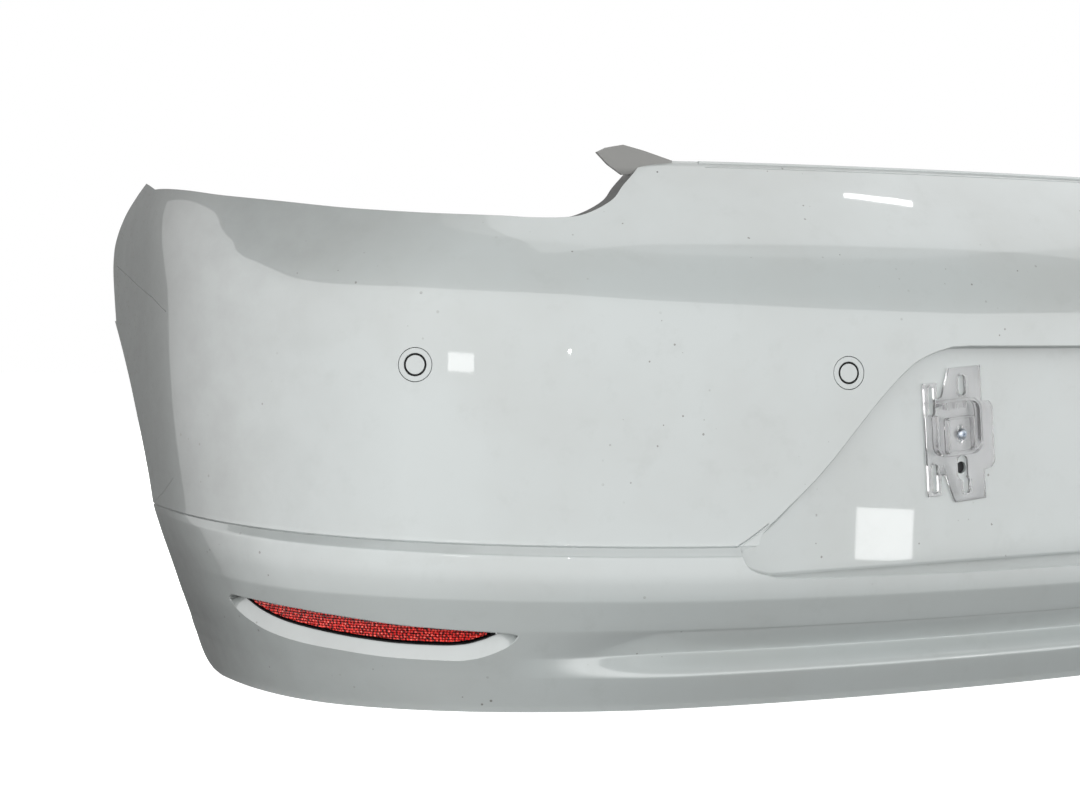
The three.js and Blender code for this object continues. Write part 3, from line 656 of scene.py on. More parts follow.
def recess_outline(grow, y):
    """Outline of the plate recess in X and Z at a depth Y; the ledge below falls towards the belt."""
    left = spline(PLATE_EDGE, 5)
    (top_x, _), (low_x, _) = PLATE_EDGE[0], PLATE_EDGE[-1]
    bottom = np.column_stack([np.linspace(low_x, -low_x, 42)[1:-1], np.full(40, PLATE["bottom"])])
    top = np.column_stack([np.linspace(-top_x, top_x, 24)[1:-1], np.full(22, PLATE["top"])])
    base = np.concatenate([left, bottom, mirrored(left), top])
    outline = base + grow * outline_normals(base)
    across = np.abs(base[:, 0]) / PLATE["ledge"]
    drop = PLATE["drop"] * (0.5 + 0.5 * across ** 2) * (1 - smooth((0.95, 1.0), across))
    low = base[:, 1] < PLATE["bottom"] + 1
    outline[:, 1] -= np.where(low, drop * (PLATE["floor"] - y) / PLATE["slant"], 0)
    return outline


def recess_parts():
    """Tub behind the plate, and the tool that hollows it out."""
    runs, heights = np.linspace(*TUB["runs"], 100), np.linspace(*TUB["heights"], 300)
    tub = band("plate_tub", runs, heights, *TUB["depths"])
    floor, front = PLATE["floor"], BEYOND["front"]
    common(tub, along(Y, "tub_outline", recess_outline(WALL, floor), front, floor + WALL))
    fillet = 3.0
    corner = [(math.sin(a), 1 - math.cos(a)) for a in np.linspace(0, math.pi / 2, 6)]
    levels = [(y, 0.0) for y in (front, -30, 0, 20)]
    levels += [(floor - fillet + fillet * s, -fillet * c) for s, c in corner]
    rings = [np.insert(recess_outline(grow, y), Y, y, axis=1) for y, grow in levels]
    return tub, loft("recess_tool", rings)


def recess_rim_tool(radius=1.8):
    """Rounds the rim where the recess meets the painted surface."""
    outline = recess_outline(0, 0)
    for _ in range(5):
        far = run_where(X, -np.abs(outline[:, 0]), outline[:, 1], 0, 700)
        run = far * -np.sign(outline[:, 0] + 1e-9)
        points = surface(run, outline[:, 1])
        outline[:, 1] = recess_outline(0, points[:, 1])[:, 1]
    normals = outline_normals(outline)
    inward = np.column_stack([-normals[:, 0], np.zeros(len(normals)), -normals[:, 1]])
    room = np.maximum(PLATE["floor"] - points[:, 1:2], 0)
    radius = np.clip(room * 0.4, 0.15, radius)
    outward = surface_normal(run, outline[:, 1])
    return edge_tool("recess_rim", points, outward, inward, radius, spill=radius * 0.5)


def pocket_low(run):
    return monotone(*zip(*POCKET_LOW), np.abs(run))


def pocket_high(run):
    return monotone(*zip(*POCKET_HIGH), np.abs(run))


def window_high(run):
    return pocket_high(run) - 0.4


def window_low(run):
    """Lower edge of the window; it meets the upper edge beyond the ends of the lens."""
    run = np.abs(run)
    line = monotone(*zip(*LENS_LOW), np.clip(run, LENS_LOW[0][0], LENS_LOW[-1][0]))
    return np.minimum(np.maximum(line - 1.6, pocket_low(run) + 0.2), window_high(run) - 0.5)


def eased(start, end, count):
    """Values that crowd together towards both ends."""
    return start + (end - start) * (0.5 - 0.5 * np.cos(np.linspace(0, math.pi, count)))


def pocket_solid(name, runs, polygon):
    """Solid along the belt line; polygon gives (depth, height) corners of its section at a run."""
    rings = []
    for run in runs:
        depths, heights = np.array(polygon(run), float).T
        rings.append(surface(run, heights, depths))
    return loft(name, rings)


def window_solid(name, runs, depths, low_in, high_in, least=-math.inf):
    """Solid behind the window of a pocket, between two depths, drawn in from both edges."""

    def section(run):
        low = window_low(run) + low_in
        high = np.maximum(window_high(run) - high_in, low + least)
        return [(depths[0], low), (depths[1], low), (depths[1], high), (depths[0], high)]

    return pocket_solid(name, runs, section)


def side_ends(side, points, margin=0.0):
    """Rising runs of the two ends of a table of points, drawn in by a margin."""
    near, far = points[0][0] + margin, points[-1][0] - margin
    return (near, far) if side > 0 else (-far, -near)


def pocket_parts(side):
    """Wall behind a reflector pocket, its slanted mouth and the window for the lens."""
    ends = side_ends(side, POCKET_LOW)
    seat, back = LENS_DEPTH + 0.01, LENS_DEPTH + WALL

    def wall(run):
        inside = np.clip(abs(run), POCKET_LOW[0][0], POCKET_LOW[-1][0])
        low, high = pocket_low(inside) - WALL, pocket_high(inside) + WALL
        return [(0.8, low), (back, window_low(inside) - WALL), (back, high), (0.8, high)]

    def mouth(run):
        low, high, inner = pocket_low(run), pocket_high(run), window_low(run)
        lead = (inner - low) * 0.8
        return [(-8, low - lead), (0, low), (seat, inner), (seat, window_high(run)), (0, high), (-8, high)]

    grown = np.linspace(ends[0] - WALL, ends[1] + WALL, 60)
    window_runs = eased(*side_ends(side, LENS_LOW), 70)
    return (
        recolour(pocket_solid("pocket_wall", grown, wall), PLAIN),
        pocket_solid("pocket_mouth", eased(*ends, 90), mouth),
        window_solid("pocket_window", window_runs, (LENS_DEPTH - 0.5, 40), 0, 0),
    )


def pocket_rim_tool(side, radius=1.4):
    """Rounds the rim of a reflector pocket."""
    first, last = POCKET_LOW[0][0], POCKET_LOW[-1][0]
    runs = eased(first + 0.3, last - 0.3, 80)
    line = np.concatenate([
        np.column_stack([runs, pocket_low(runs)]), np.column_stack([runs, pocket_high(runs)])[::-1],
    ])
    rise = np.concatenate([window_low(runs) - pocket_low(runs), np.zeros(len(runs))])[:, None]
    outward = surface_normal(line[:, 0], line[:, 1])
    ahead = surface(line[:, 0] + 0.5, line[:, 1]) - surface(line[:, 0] - 0.5, line[:, 1])
    up = np.cross(ahead, outward)
    up *= np.sign(up[:, 2:])
    normals = -outline_normals(line)
    inward = normals[:, :1] * ahead + normals[:, 1:] * up / np.linalg.norm(up, axis=1, keepdims=True)
    points = surface(line[:, 0], line[:, 1])
    gap_side = inward * LENS_DEPTH + outward * rise
    if side < 0:
        flip = np.array((-1, 1, 1))
        points, outward, gap_side = points * flip, outward * flip, gap_side * flip
    return edge_tool("pocket_rim", points, outward, gap_side, radius)


def level_flange(name, shape, low, inset):
    """Flat strip behind the belt line, one thickness high; inset gives the skin's inset at a run."""
    high = low + shape["thick"]
    rings = []
    for run in np.linspace(-shape["reach"], shape["reach"], 90):
        near, far = inset(run) - shape["lap"], inset(run) + shape["depth"]
        rings.append([place(run, *corner) for corner in ((near, low), (far, low), (far, high), (near, high))])
    return recolour(loft(name, rings), PLAIN)


def punch(made, outline, places):
    """Cuts an upright hole at each place."""
    for centre in places:
        cut(made, prism("hole", outline, -10, 10, Matrix.Translation(centre)))
    return made


def top_flange():
    inset, shape = SECTION[-1][1], TOP_FLANGE
    made = level_flange("top_flange", shape, HEIGHT - shape["thick"], lambda run: inset)
    places = [place(run, inset + shape["line"], HEIGHT) for run in shape["slots"]]
    return punch(made, rounded_rect(9, 4, 3.9), places)


def foot_flange():
    shape = FOOT_FLANGE
    made = level_flange("foot_flange", shape, 0, lambda run: inset_at(run, 0))
    places = [place(run, inset_at(run, 0) + shape["line"], 0) for run in shape["holes"]]
    return punch(made, circle(4, 32), places)


def lamp_tab(side):
    """Mounting tab that points outboard at the top corner of the lamp cut-out, with its rib."""
    front, plate, rib = LAMP_TAB_DEPTHS.values()
    made = along(Y, "lamp_tab", handed(LAMP_TAB, side), front, plate)
    return recolour(add(made, along(Y, "lamp_tab_rib", handed(LAMP_TAB_RIB, side), front, rib)), PLAIN)


def bracket_frame(side):
    """Local X right, local Y up the bracket, local Z out of the recess floor."""
    tilt = Matrix.Rotation(math.radians(-side * BRACKET["tilt"]), 4, "Z")
    stand = Matrix.Rotation(math.pi / 2, 4, "X")
    return Matrix.Translation((side * BRACKET["x"], PLATE["floor"], BRACKET["z"])) @ stand @ tilt


def groove(runs, heights, width, depth):
    """Tool for a V-shaped groove along a line of runs and true heights on the painted surface."""
    points, outward = surface(runs, heights), surface_normal(runs, heights)
    across = np.cross(np.gradient(points, axis=0), outward)
    across /= np.linalg.norm(across, axis=1, keepdims=True)
    lift = 0.5
    reach = across * width / 2 * (1 + lift / depth)
    ring = [points - outward * depth, points + outward * lift + reach, points + outward * lift - reach]
    return loft("groove", np.stack(ring, axis=1))


def character_line(side):
    """Groove along the crease from the recess to the wheel arch."""
    runs = side * np.linspace(*CHARACTER_LINE["runs"], 240)
    heights = CHARACTER_LINE["height"] + climb(runs, CHARACTER_LINE["height"])
    return groove(runs, heights, CHARACTER_LINE["width"], CHARACTER_LINE["depth"])


def top_seam():
    runs = np.linspace(-SEAM["reach"], SEAM["reach"], 240)
    return groove(runs, np.full(len(runs), SEAM["height"]), SEAM["width"], SEAM["depth"])


def crack(points, width, depth):
    """Fine crack through the lacquer along a few points of run and height."""
    runs, heights = np.array(points, float).T
    steps = np.linspace(0, len(runs) - 1, 24)
    marks = np.arange(len(runs))
    return groove(np.interp(steps, marks, runs), np.interp(steps, marks, heights), width, depth)


def drill(made, radius, matrix, high):
    return cut(made, prism("drill", circle(radius), -8, high, matrix))


def add_flanges(skin):
    """Return flanges along the wheel arches and the lamp cut-outs, and along the top and the foot."""
    for side in (-1, 1):
        runs = np.linspace(*(side * run for run in ARCH_LIP["runs"]), 50)
        arch = band("arch_flange", runs, np.linspace(*ARCH_LIP["heights"], 60), 0.6, ARCH_LIP["depth"])
        add(skin, common(arch, arch_tool(WALL)))
        runs = np.linspace(*(side * run for run in LAMP_LIP["runs"]), 90)
        lamp = band("lamp_flange", runs, np.linspace(*LAMP_LIP["heights"], 16), 1, LAMP_LIP["depth"])
        add(skin, recolour(common(lamp, lamp_tool(-side, WALL, LAMP_LIP["back"])), PLAIN))
    return add(skin, recolour(top_flange(), PAINTED), foot_flange())


def tow_tool(grow):
    outline = rounded_rect(TOW["half_width"] + grow, TOW["half_height"] + grow, TOW["corner"] + grow)
    return prism("tow_tool", outline, -12, 12, surface_frame(TOW["run"], TOW["z"]))


def bumper_cover():
    skin = add_flanges(plain_skin())
    tub, opening = recess_parts()
    add(skin, recolour(tub, PLAIN))
    cut(skin, opening, recess_rim_tool())
    for side in (-1, 1):
        wall, mouth, window = pocket_parts(side)
        add(skin, recolour(wall, PLAIN))
        cut(skin, mouth, window, pocket_rim_tool(side))
        cut(skin, recolour(lamp_tool(side), PLAIN), flank_tool(side))
    for side in (-1, 1):
        add(skin, lamp_tab(side))
    cut(skin, arch_tool(), corner_tool())
    for run, z in SENSORS.values():
        drill(skin, SENSOR["hole"], surface_frame(run, z), 12)
    spare = Matrix.Translation((0, -SPARE_HOLE["drop"], 0))
    for side in (-1, 1):
        drill(skin, 3.2, bracket_frame(side), 8)
        drill(skin, SPARE_HOLE["radius"], bracket_frame(side) @ spare, 8)
    points, width, depth = RIM_END
    for side in (-1, 1):
        cut(skin, character_line(side))
        cut(skin, crack([(side * run, z) for run, z in points], width, depth))
    for line in CRACKS:
        cut(skin, crack(*line))
    return cut(skin, top_seam(), tow_tool(TOW["gap"]))


# ---------------------------------------------------------------- normals of the moulded faces


def read(items, key, width=1, kind=float):
    """One property of every item, as an array with a row for each."""
    values = np.empty(len(items) * width, kind)
    items.foreach_get(key, values)
    return values.reshape(-1, width) if width > 1 else values


def moulded_normals(made):
    """Gives the two moulded faces the exact normals of the surface; other faces keep their own."""
    mesh = made.data
    points = read(mesh.vertices, "co", 3)
    run = run_of(points)
    x, y, in_x, in_y = belt_at(run)
    inset = (points[:, 0] - x) * in_x + (points[:, 1] - y) * in_y
    height = section_height(run, points[:, 2])
    depth = inset - inset_at(run, height)
    front = np.abs(depth) < MATCH["front"]
    back = np.abs(depth - wall_at(run, height)) < MATCH["back"]

    corners = read(mesh.loops, "vertex_index", kind=np.int32)
    outward = surface_normal(run, points[:, 2])[corners]
    starts, totals = (read(mesh.polygons, key, kind=np.int32) for key in ("loop_start", "loop_total"))
    order = np.concatenate([np.arange(s, s + t) for s, t in zip(starts, totals)])
    flat = np.empty((len(corners), 3))
    flat[order] = np.repeat(read(mesh.polygons, "normal", 3), totals, axis=0)
    agreement = (flat * outward).sum(axis=1)
    on_floor = (flat[:, 1] < -MATCH["level"]) & (np.abs(points[corners, 1] - PLATE["floor"]) < 0.01)
    use_front = front[corners] & (agreement > MATCH["cosine"]) & ~on_floor
    use_back = back[corners] & (agreement < -MATCH["cosine"])
    normals = read(mesh.corner_normals, "vector", 3)
    normals[use_front] = outward[use_front]
    normals[use_back] = -outward[use_back]
    mesh.normals_split_custom_set(normals.tolist())


def shade(made, angle, exact=False):
    """Smooth shading with sharp edges past an angle, and large flat faces kept flat."""
    made.data.shade_smooth()
    made.data.set_sharp_from_angle(angle=math.radians(angle))
    made.modifiers.new("weigh", "WEIGHTED_NORMAL").keep_sharp = True
    apply_modifiers(made)
    if exact:
        moulded_normals(made)
    return made


def settle(made, materials, body, nodes):
    """Moves a finished piece from the moulding's millimetres into the frame."""
    made.data.transform(Matrix.Scale(MM, 4) @ Matrix.Translation((0, SHIFT_Y, 0)))
    for index, material in enumerate(materials):
        made.data.materials[index] = material
    while len(made.data.materials) > len(materials):
        made.data.materials.pop()
    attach(made, body)
    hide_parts(*nodes)


# ---------------------------------------------------------------- reflectors

def reflector_housing(side):
    """Black tray behind the window, open to the front, with a rim that bears on the pocket wall."""
    near, far = side_ends(side, LENS_LOW, 1)
    made = window_solid("reflector_housing", eased(near, far, 60), (LENS_DEPTH - 1.6, 26), 0.3, 0.3)
    runs = np.linspace(near + 9, far - 9, 40)
    add(made, window_solid("housing_flange", runs, (LENS_DEPTH + 4.2, LENS_DEPTH + 6), -6, -6))
    runs = eased(near + 4, far - 4, 60)
    return cut(made, window_solid("housing_hollow", runs, (LENS_DEPTH - 4, 23.5), 1.5, 1.2, 0.1))


def prism_sheet(ends, low, high, front, back):
    """Sheet with small pyramids over its front, in rows along the belt line."""
    half = PRISM["pitch"] / 2
    runs = np.arange(ends[0], ends[1], half)
    heights = np.arange(low, high, half)
    rings = []
    for i, run in enumerate(runs):
        peak = PRISM["height"] * (np.arange(len(heights)) % 2) * (i % 2)
        near = surface(run, heights, front - peak)
        far = surface(run, heights, back)
        rings.append(np.concatenate([near, far[::-1]]))
    return loft("lens_sheet", rings)


def reflector_lens(side):
    near, far = side_ends(side, LENS_LOW, 9)
    made = prism_sheet((near - 3, far + 3), 58, 99, LENS_DEPTH - 0.6, LENS_DEPTH + 2.6)
    depths = (LENS_DEPTH - 3, LENS_DEPTH + 5)
    return common(made, window_solid("lens_outline", eased(near, far, 60), depths, 3.6, 0.6, 0.6))


# ---------------------------------------------------------------- parking sensors


def round_corner(r, h, size, quarter, steps=4):
    """Points of a quarter circle in a turned profile.

    Quarter 0 is the outer front corner, 1 the outer back corner and 3 the inner front corner.
    """
    start = math.radians(90 - 90 * quarter)
    x = r + size if quarter == 3 else r - size
    y = h + size if quarter == 1 else h - size
    angles = [start - math.radians(90 * i / steps) for i in range(steps + 1)]
    return [(x + size * math.cos(angle), y + size * math.sin(angle)) for angle in angles]


def sensor_holder(matrix):
    bore = SENSOR["bore"]
    face = [*round_corner(bore, 0, 0.4, 3), *round_corner(SENSOR["ring"], 0, 0.6, 0)]
    return turned("sensor_holder", [*face, *HOLDER_BACK, (bore, -4)], matrix)


def decoupling_ring(matrix):
    inner, outer = SENSOR["face"] + 0.35, SENSOR["bore"] - 0.25
    face = [*round_corner(inner, -0.5, 0.3, 3), *round_corner(outer, -0.5, 0.3, 0)]
    return turned("decoupling_ring", [*face, (outer, -5.6), (inner, -5.6)], matrix)


def parking_sensor(matrix):
    """Round sensor face on a barrel, closed by a core, with a box and its connector socket behind."""
    face, barrel, back = SENSOR["face"], SENSOR["barrel"], SENSOR["back"]
    profile = [(0.3, 0.05), (face * 0.6, 0), *round_corner(face, -0.1, 0.5, 0), (face, -7), (barrel, -7),
               *round_corner(barrel, back, 1.0, 1), (0.3, back)]
    made = turned("parking_sensor", profile, matrix)
    add(made, prism("sensor_core", circle(1.2, 12), back + 0.1, 0.04, matrix))
    add(made, prism("sensor_back", rounded_rect(7.5, 9, 1.5, 4, (0, 5)), -28, -22, matrix))
    socket = prism("sensor_socket", rounded_rect(7.5, 11, 1.5, 4, (0, 7)), -35, -23, matrix)
    cut(socket, prism("socket_hollow", rounded_rect(5.5, 7, 1, 4, (0, 13)), -33, -25, matrix))
    return add(made, socket)


# ---------------------------------------------------------------- number-plate brackets


def slot_outline(x, y, half_width, half_length):
    return rounded_rect(half_width, half_length, half_width - 0.05, 6, (x, y))


def bevelled(made, width, angle):
    """Rounds the sharp edges of a small piece."""
    step = made.modifiers.new("edges", "BEVEL")
    step.width = width
    step.segments = 2
    step.limit_method = "ANGLE"
    step.angle_limit = math.radians(angle)
    return apply_modifiers(made)


def plate_bracket(side):
    """Clear bracket: slotted rail, two tabs, a rounded boss about a square well, and ribs."""
    matrix = bracket_frame(side)
    base, boss, gap = BRACKET["base"], BRACKET["boss"], 0.3

    def solid(name, outline, low, high):
        return prism(name, handed(outline, side), low, high, matrix)

    made = solid("plate_bracket", BRACKET_OUTLINE, gap, base + gap)
    wall = solid("boss_wall", rounded_rect(27, 27, 12, 8, (-8, 8)), gap, boss + gap)
    cut(wall, solid("boss_inside", rounded_rect(24.4, 24.4, 9.8, 8, (-8, 8)), base, boss + 5))
    well = solid("well", rounded_rect(16.5, 17.5, 3, 4, (-4, 0)), gap, boss - 2)
    cut(well, solid("well_inside", rounded_rect(14.6, 15.6, 2, 4, (-4, 0)), base + 0.5, boss))
    add(made, wall, well)
    for x, y, half_width, half_length in BRACKET_SLOTS:
        add(made, solid("rim", slot_outline(x, y, half_width + 1.6, half_length + 1.6), gap, base + 1.6))
        cut(made, solid("slot", slot_outline(x, y, half_width, half_length), -2, 20))
    for x in BRACKET_RIBS:
        add(made, solid("rib", rounded_rect(0.6, 4.6, 0.3, 2, (x, 30)), gap, boss - 3))
    cut(made, prism("screw_slot", slot_outline(0, 0, 3, 9), -2, 20, matrix))
    cut(made, prism("spare_slot", slot_outline(0, -SPARE_HOLE["drop"], 6.2, 12.2), -2, 20, matrix))
    return bevelled(made, 0.35, 50)


def plate_screw(side):
    """Pan-head screw with a six-lobed socket and its shank."""
    matrix = bracket_frame(side)
    seat = BRACKET["base"] + 0.8
    profile = [(radius, seat + height) for radius, height in SCREW_HEAD] + SCREW_SHANK
    made = turned("plate_screw", profile, matrix, 64)
    add(made, prism("screw_core", circle(1.0, 12), -15.9, seat + 3.3, matrix))
    angles = np.arange(SOCKET["points"]) * 2 * math.pi / SOCKET["points"]
    lobes = SOCKET["radius"] + SOCKET["lobe"] * np.cos(SOCKET["lobes"] * angles)
    star = circle(1, SOCKET["points"]) * lobes[:, None]
    return cut(made, prism("screw_socket", star, seat + 1.1, seat + 6, matrix))


def plate_nut(side):
    """Expanding nut behind the recess floor, with a strip that closes the spare hole, a dark sheet that
    stands in for the shade seen through it.
    """
    matrix = bracket_frame(side)
    # The strip is a dark sheet standing in for the painted shade seen through the spare hole.
    shade_strip = prism("nut_shade_strip", rounded_rect(9, 27, 4, 4, (0, -19)), -4.7, -3.4, matrix)
    cut(shade_strip, prism("shade_strip_hole", circle(2.9, 24), -6, -2, matrix))
    return add(turned("plate_nut", NUT_PROFILE, matrix, 48), shade_strip)


# ---------------------------------------------------------------- tow-eye cover


def tow_pin(radius, reach):
    """Bar along the tilting axis of the tow-eye cover."""
    turn = Matrix.Translation((0, -8, -6)) @ Matrix.Rotation(math.pi / 2, 4, "Y")
    return prism("pin", circle(radius, 24), -reach, reach, surface_frame(TOW["run"], TOW["z"]) @ turn)


def tow_cover():
    """Patch of the skin inside its own outline, on two lugs with stub pins."""
    run, z, width = TOW["run"], TOW["z"], TOW["half_width"]
    runs, heights = np.linspace(run - 50, run + 50, 30), np.linspace(z - 45, z + 45, 30)
    patch = common(band("tow_cover", runs, heights, 0, WALL), tow_tool(0))
    for side in (-1, 1):
        lug = rounded_rect(1.5, 7, 1, 3, (side * (width - 3), -8))
        add(patch, prism("lug", lug, -9, -WALL + 1.2, surface_frame(run, z)))
    return add(patch, tow_pin(1.6, width + 3))


def tow_sleeve():
    """Sleeve behind the hole in the skin, with a hole for the pin in each side."""
    matrix = surface_frame(TOW["run"], TOW["z"])
    width, height, corner = TOW["half_width"], TOW["half_height"], TOW["corner"]
    made = prism("tow_eye_sleeve", rounded_rect(width + 6, height + 8, corner), -22, -WALL - 1.6, matrix)
    cut(made, prism("bore", rounded_rect(width + 1.2, height + 2.5, corner), -30, 0, matrix))
    return cut(made, tow_pin(1.7, width + 4))


# ---------------------------------------------------------------- materials


class Nodes:
    """The node tree of a material or a world, with short names for the usual nodes."""

    def __init__(self, owner):
        owner.use_nodes = True
        self.tree = owner.node_tree

    def node(self, kind, inputs=None, **settings):
        made = self.tree.nodes.new(kind)
        for key, value in settings.items():
            setattr(made, key, value)
        for key, value in (inputs or {}).items():
            self.feed(value, made.inputs[key])
        return made

    def feed(self, value, socket):
        """Sets a socket, or links it where the value comes from a node."""
        if isinstance(value, bpy.types.NodeSocket):
            self.tree.links.new(value, socket)
        else:
            socket.default_value = value

    def ramp(self, value, low, high, at_low=0.0, at_high=1.0):
        made = self.node(
            "ShaderNodeMapRange",
            {"Value": value, "From Min": low, "From Max": high, "To Min": at_low, "To Max": at_high},
        )
        return made.outputs["Result"]

    def math(self, operation, a, b):
        return self.node("ShaderNodeMath", {0: a, 1: b}, operation=operation).outputs[0]


class Finish(Nodes):
    """A material under construction; the settings are inputs of its shader."""

    def __init__(self, name, **settings):
        self.material = bpy.data.materials.new(name)
        super().__init__(self.material)
        self.shader = self.tree.nodes["Principled BSDF"]
        for key, value in settings.items():
            self.shader.inputs[key.replace("_", " ")].default_value = value

    def place(self):
        """Coordinates in metres in the frame of the whole object."""
        return self.node("ShaderNodeTexCoord").outputs["Object"]

    def axes(self):
        return self.node("ShaderNodeSeparateXYZ", {"Vector": self.place()}).outputs

    def noise(self, scale, detail=3.0, roughness=0.5):
        inputs = {"Vector": self.place(), "Scale": scale, "Detail": detail, "Roughness": roughness}
        return self.node("ShaderNodeTexNoise", inputs).outputs["Fac"]

    def mix(self, factor, a, b):
        made = self.node("ShaderNodeMix", data_type="RGBA")
        for key, value in (("Factor", factor), ("A", a), ("B", b)):
            self.feed(value, next(s for s in made.inputs if s.name == key and s.enabled))
        return next(s for s in made.outputs if s.enabled)

    def dots(self, scale, radius, share, seed=0.0):
        """Small round specks: a share of the cells of a scattered grid holds one each."""
        shifted = self.node("ShaderNodeMapping", {"Vector": self.place(), "Location": (seed, seed, seed)})
        cells = self.node("ShaderNodeTexVoronoi", {"Vector": shifted.outputs[0], "Scale": scale})
        size = self.node("ShaderNodeSeparateColor", {"Color": cells.outputs["Color"]})
        chosen = self.math("LESS_THAN", size.outputs[0], share)
        reach = self.math("MULTIPLY", size.outputs[1], radius)
        inside = self.math("LESS_THAN", cells.outputs["Distance"], reach)
        return self.math("MULTIPLY", chosen, inside)

    def link(self, value, key):
        self.tree.links.new(value, self.shader.inputs[key])

    def bump(self, height, strength, distance):
        """Links a relief into the shader, and returns the finished material."""
        made = self.node("ShaderNodeBump", {"Strength": strength, "Distance": distance, "Height": height})
        self.link(made.outputs["Normal"], "Normal")
        return self.material


def rgb(r, g, b):
    return (r, g, b, 1.0)


def white_paint():
    """Cool white lacquer with a dusty film, specks of dirt, small chips, and grime and painted shade near the
    flanks.
    """
    paint = Finish("white_paint", Coat_Weight=1.0, Coat_Roughness=0.03, Coat_IOR=1.6, IOR=1.55)
    back = paint.axes()[1]
    film = paint.ramp(paint.noise(5.0, 4, 0.6), 0.42, 0.72)
    colour = paint.mix(film, rgb(0.47, 0.505, 0.50), rgb(0.44, 0.465, 0.455))
    streaks = paint.ramp(paint.noise(38.0, 6, 0.65), 0.55, 0.8, 0.0, 0.35)
    # The paint darkens smoothly towards the flank: partly dust, partly painted shade where the side turns
    # away from the light.
    flank = paint.ramp(back, *FLANK_SHADE_AND_GRIME)
    grime = paint.math("MULTIPLY", flank, paint.ramp(paint.noise(26.0, 8, 0.6), 0.38, 0.75, 0.0, 0.45))
    patches = paint.ramp(paint.noise(9.0, 3, 0.5), 0.56, 0.63)
    specks = paint.math("MULTIPLY", paint.dots(170, 0.24, 0.16), patches)
    dense = paint.math("MULTIPLY", paint.dots(330, 0.42, 0.4, 3.0), paint.ramp(back, *FLANK_DIRT))
    chips = paint.dots(46, 0.06, 0.035, 7.0)
    # Layers over the base colour; the flank layer is partly painted shade.
    for layer, tint in (
        (streaks, rgb(0.38, 0.40, 0.39)), (flank, rgb(0.235, 0.245, 0.24)), (grime, rgb(0.20, 0.205, 0.20)),
        (specks, rgb(0.22, 0.22, 0.21)), (dense, rgb(0.16, 0.155, 0.14)), (chips, rgb(0.05, 0.05, 0.05)),
    ):
        colour = paint.mix(layer, colour, tint)
    paint.link(colour, "Base Color")
    rough = paint.math("ADD", paint.ramp(film, 0, 1, 0.30, 0.42), paint.math("MULTIPLY", grime, 0.3))
    paint.link(rough, "Roughness")
    relief = paint.math("ADD", paint.noise(420.0, 2), paint.math("MULTIPLY", specks, -2.0))
    return paint.bump(relief, 0.05, 0.0002)


def moulded_plastic():
    """Grey unpainted thermoplastic with flow marks, a fine grain, dust and pale overspray."""
    plastic = Finish("moulded_plastic")
    tone = plastic.ramp(plastic.noise(11.0, 3, 0.5), 0.2, 0.8)
    colour = plastic.mix(tone, rgb(0.095, 0.096, 0.097), rgb(0.135, 0.133, 0.128))
    mist = plastic.ramp(plastic.noise(900.0, 3, 0.7), 0.58, 0.72, 0.0, 0.45)
    colour = plastic.mix(mist, colour, rgb(0.26, 0.26, 0.25))
    colour = plastic.mix(plastic.dots(60, 0.2, 0.25, 5.0), colour, rgb(0.19, 0.175, 0.15))
    near_top = plastic.ramp(plastic.axes()[2], *OVERSPRAY)
    overspray = plastic.math("MULTIPLY", near_top, plastic.ramp(tone, 0, 1, 1.0, 0.8))
    colour = plastic.mix(overspray, colour, rgb(0.27, 0.27, 0.26))
    plastic.link(colour, "Base Color")
    plastic.link(plastic.ramp(tone, 0, 1, 0.48, 0.64), "Roughness")
    return plastic.bump(plastic.noise(1400.0, 4, 0.6), 0.25, 0.0002)


def even_finish(name):
    """One of the finishes whose colour and roughness follow a single noise, over a fine relief."""
    grain, share, colours, rough, relief, settings = EVEN_FINISHES[name]
    made = Finish(name, **settings)
    tone = made.noise(*grain)
    made.link(made.mix(made.ramp(tone, *share), *(rgb(*colour) for colour in colours)), "Base Color")
    made.link(made.ramp(tone, 0.3, 0.7, *rough), "Roughness")
    scale, detail, strength = relief
    return made.bump(made.noise(scale, detail), strength, 0.0001)


def red_lens():
    """Red reflex plastic: bright facets between dark joints under a glossy face, and painted glints at some
    facet centres.
    """
    lens = Finish("red_lens", Coat_Weight=0.5, Coat_Roughness=0.04, Specular_IOR_Level=0.35)
    cells = lens.node("ShaderNodeTexVoronoi", {"Vector": lens.place(), "Scale": 400.0, "Randomness": 0.35})
    facet = lens.node("ShaderNodeSeparateColor", {"Color": cells.outputs["Color"]})
    colour = lens.mix(lens.ramp(facet.outputs[0], 0.2, 0.9), rgb(0.70, 0.006, 0.006), rgb(1.0, 0.05, 0.035))
    joint = lens.ramp(cells.outputs["Distance"], 0.36, 0.60)
    colour = lens.mix(joint, colour, rgb(0.05, 0.0, 0.0))
    # Pale painted glints at the centres of some facets.
    painted_glint = lens.math("MULTIPLY", lens.ramp(cells.outputs["Distance"], 0.30, 0.12), facet.outputs[1])
    lens.link(lens.mix(painted_glint, colour, rgb(1.0, 0.42, 0.34)), "Base Color")
    lens.link(lens.ramp(lens.noise(200.0, 3), 0.3, 0.7, 0.12, 0.25), "Roughness")
    return lens.bump(lens.noise(1500.0, 2), 0.1, 0.0001)


def clear_plastic():
    """Clear moulded plastic, faintly cloudy, with fine scuffs."""
    clear = Finish("clear_plastic", Transmission_Weight=0.94, IOR=1.45)
    haze = clear.noise(45.0, 5, 0.6)
    clear.link(clear.mix(haze, rgb(0.98, 0.975, 0.98), rgb(0.88, 0.87, 0.88)), "Base Color")
    clear.link(clear.ramp(haze, 0.35, 0.7, 0.04, 0.20), "Roughness")
    return clear.bump(clear.noise(320.0, 3), 0.12, 0.0002)


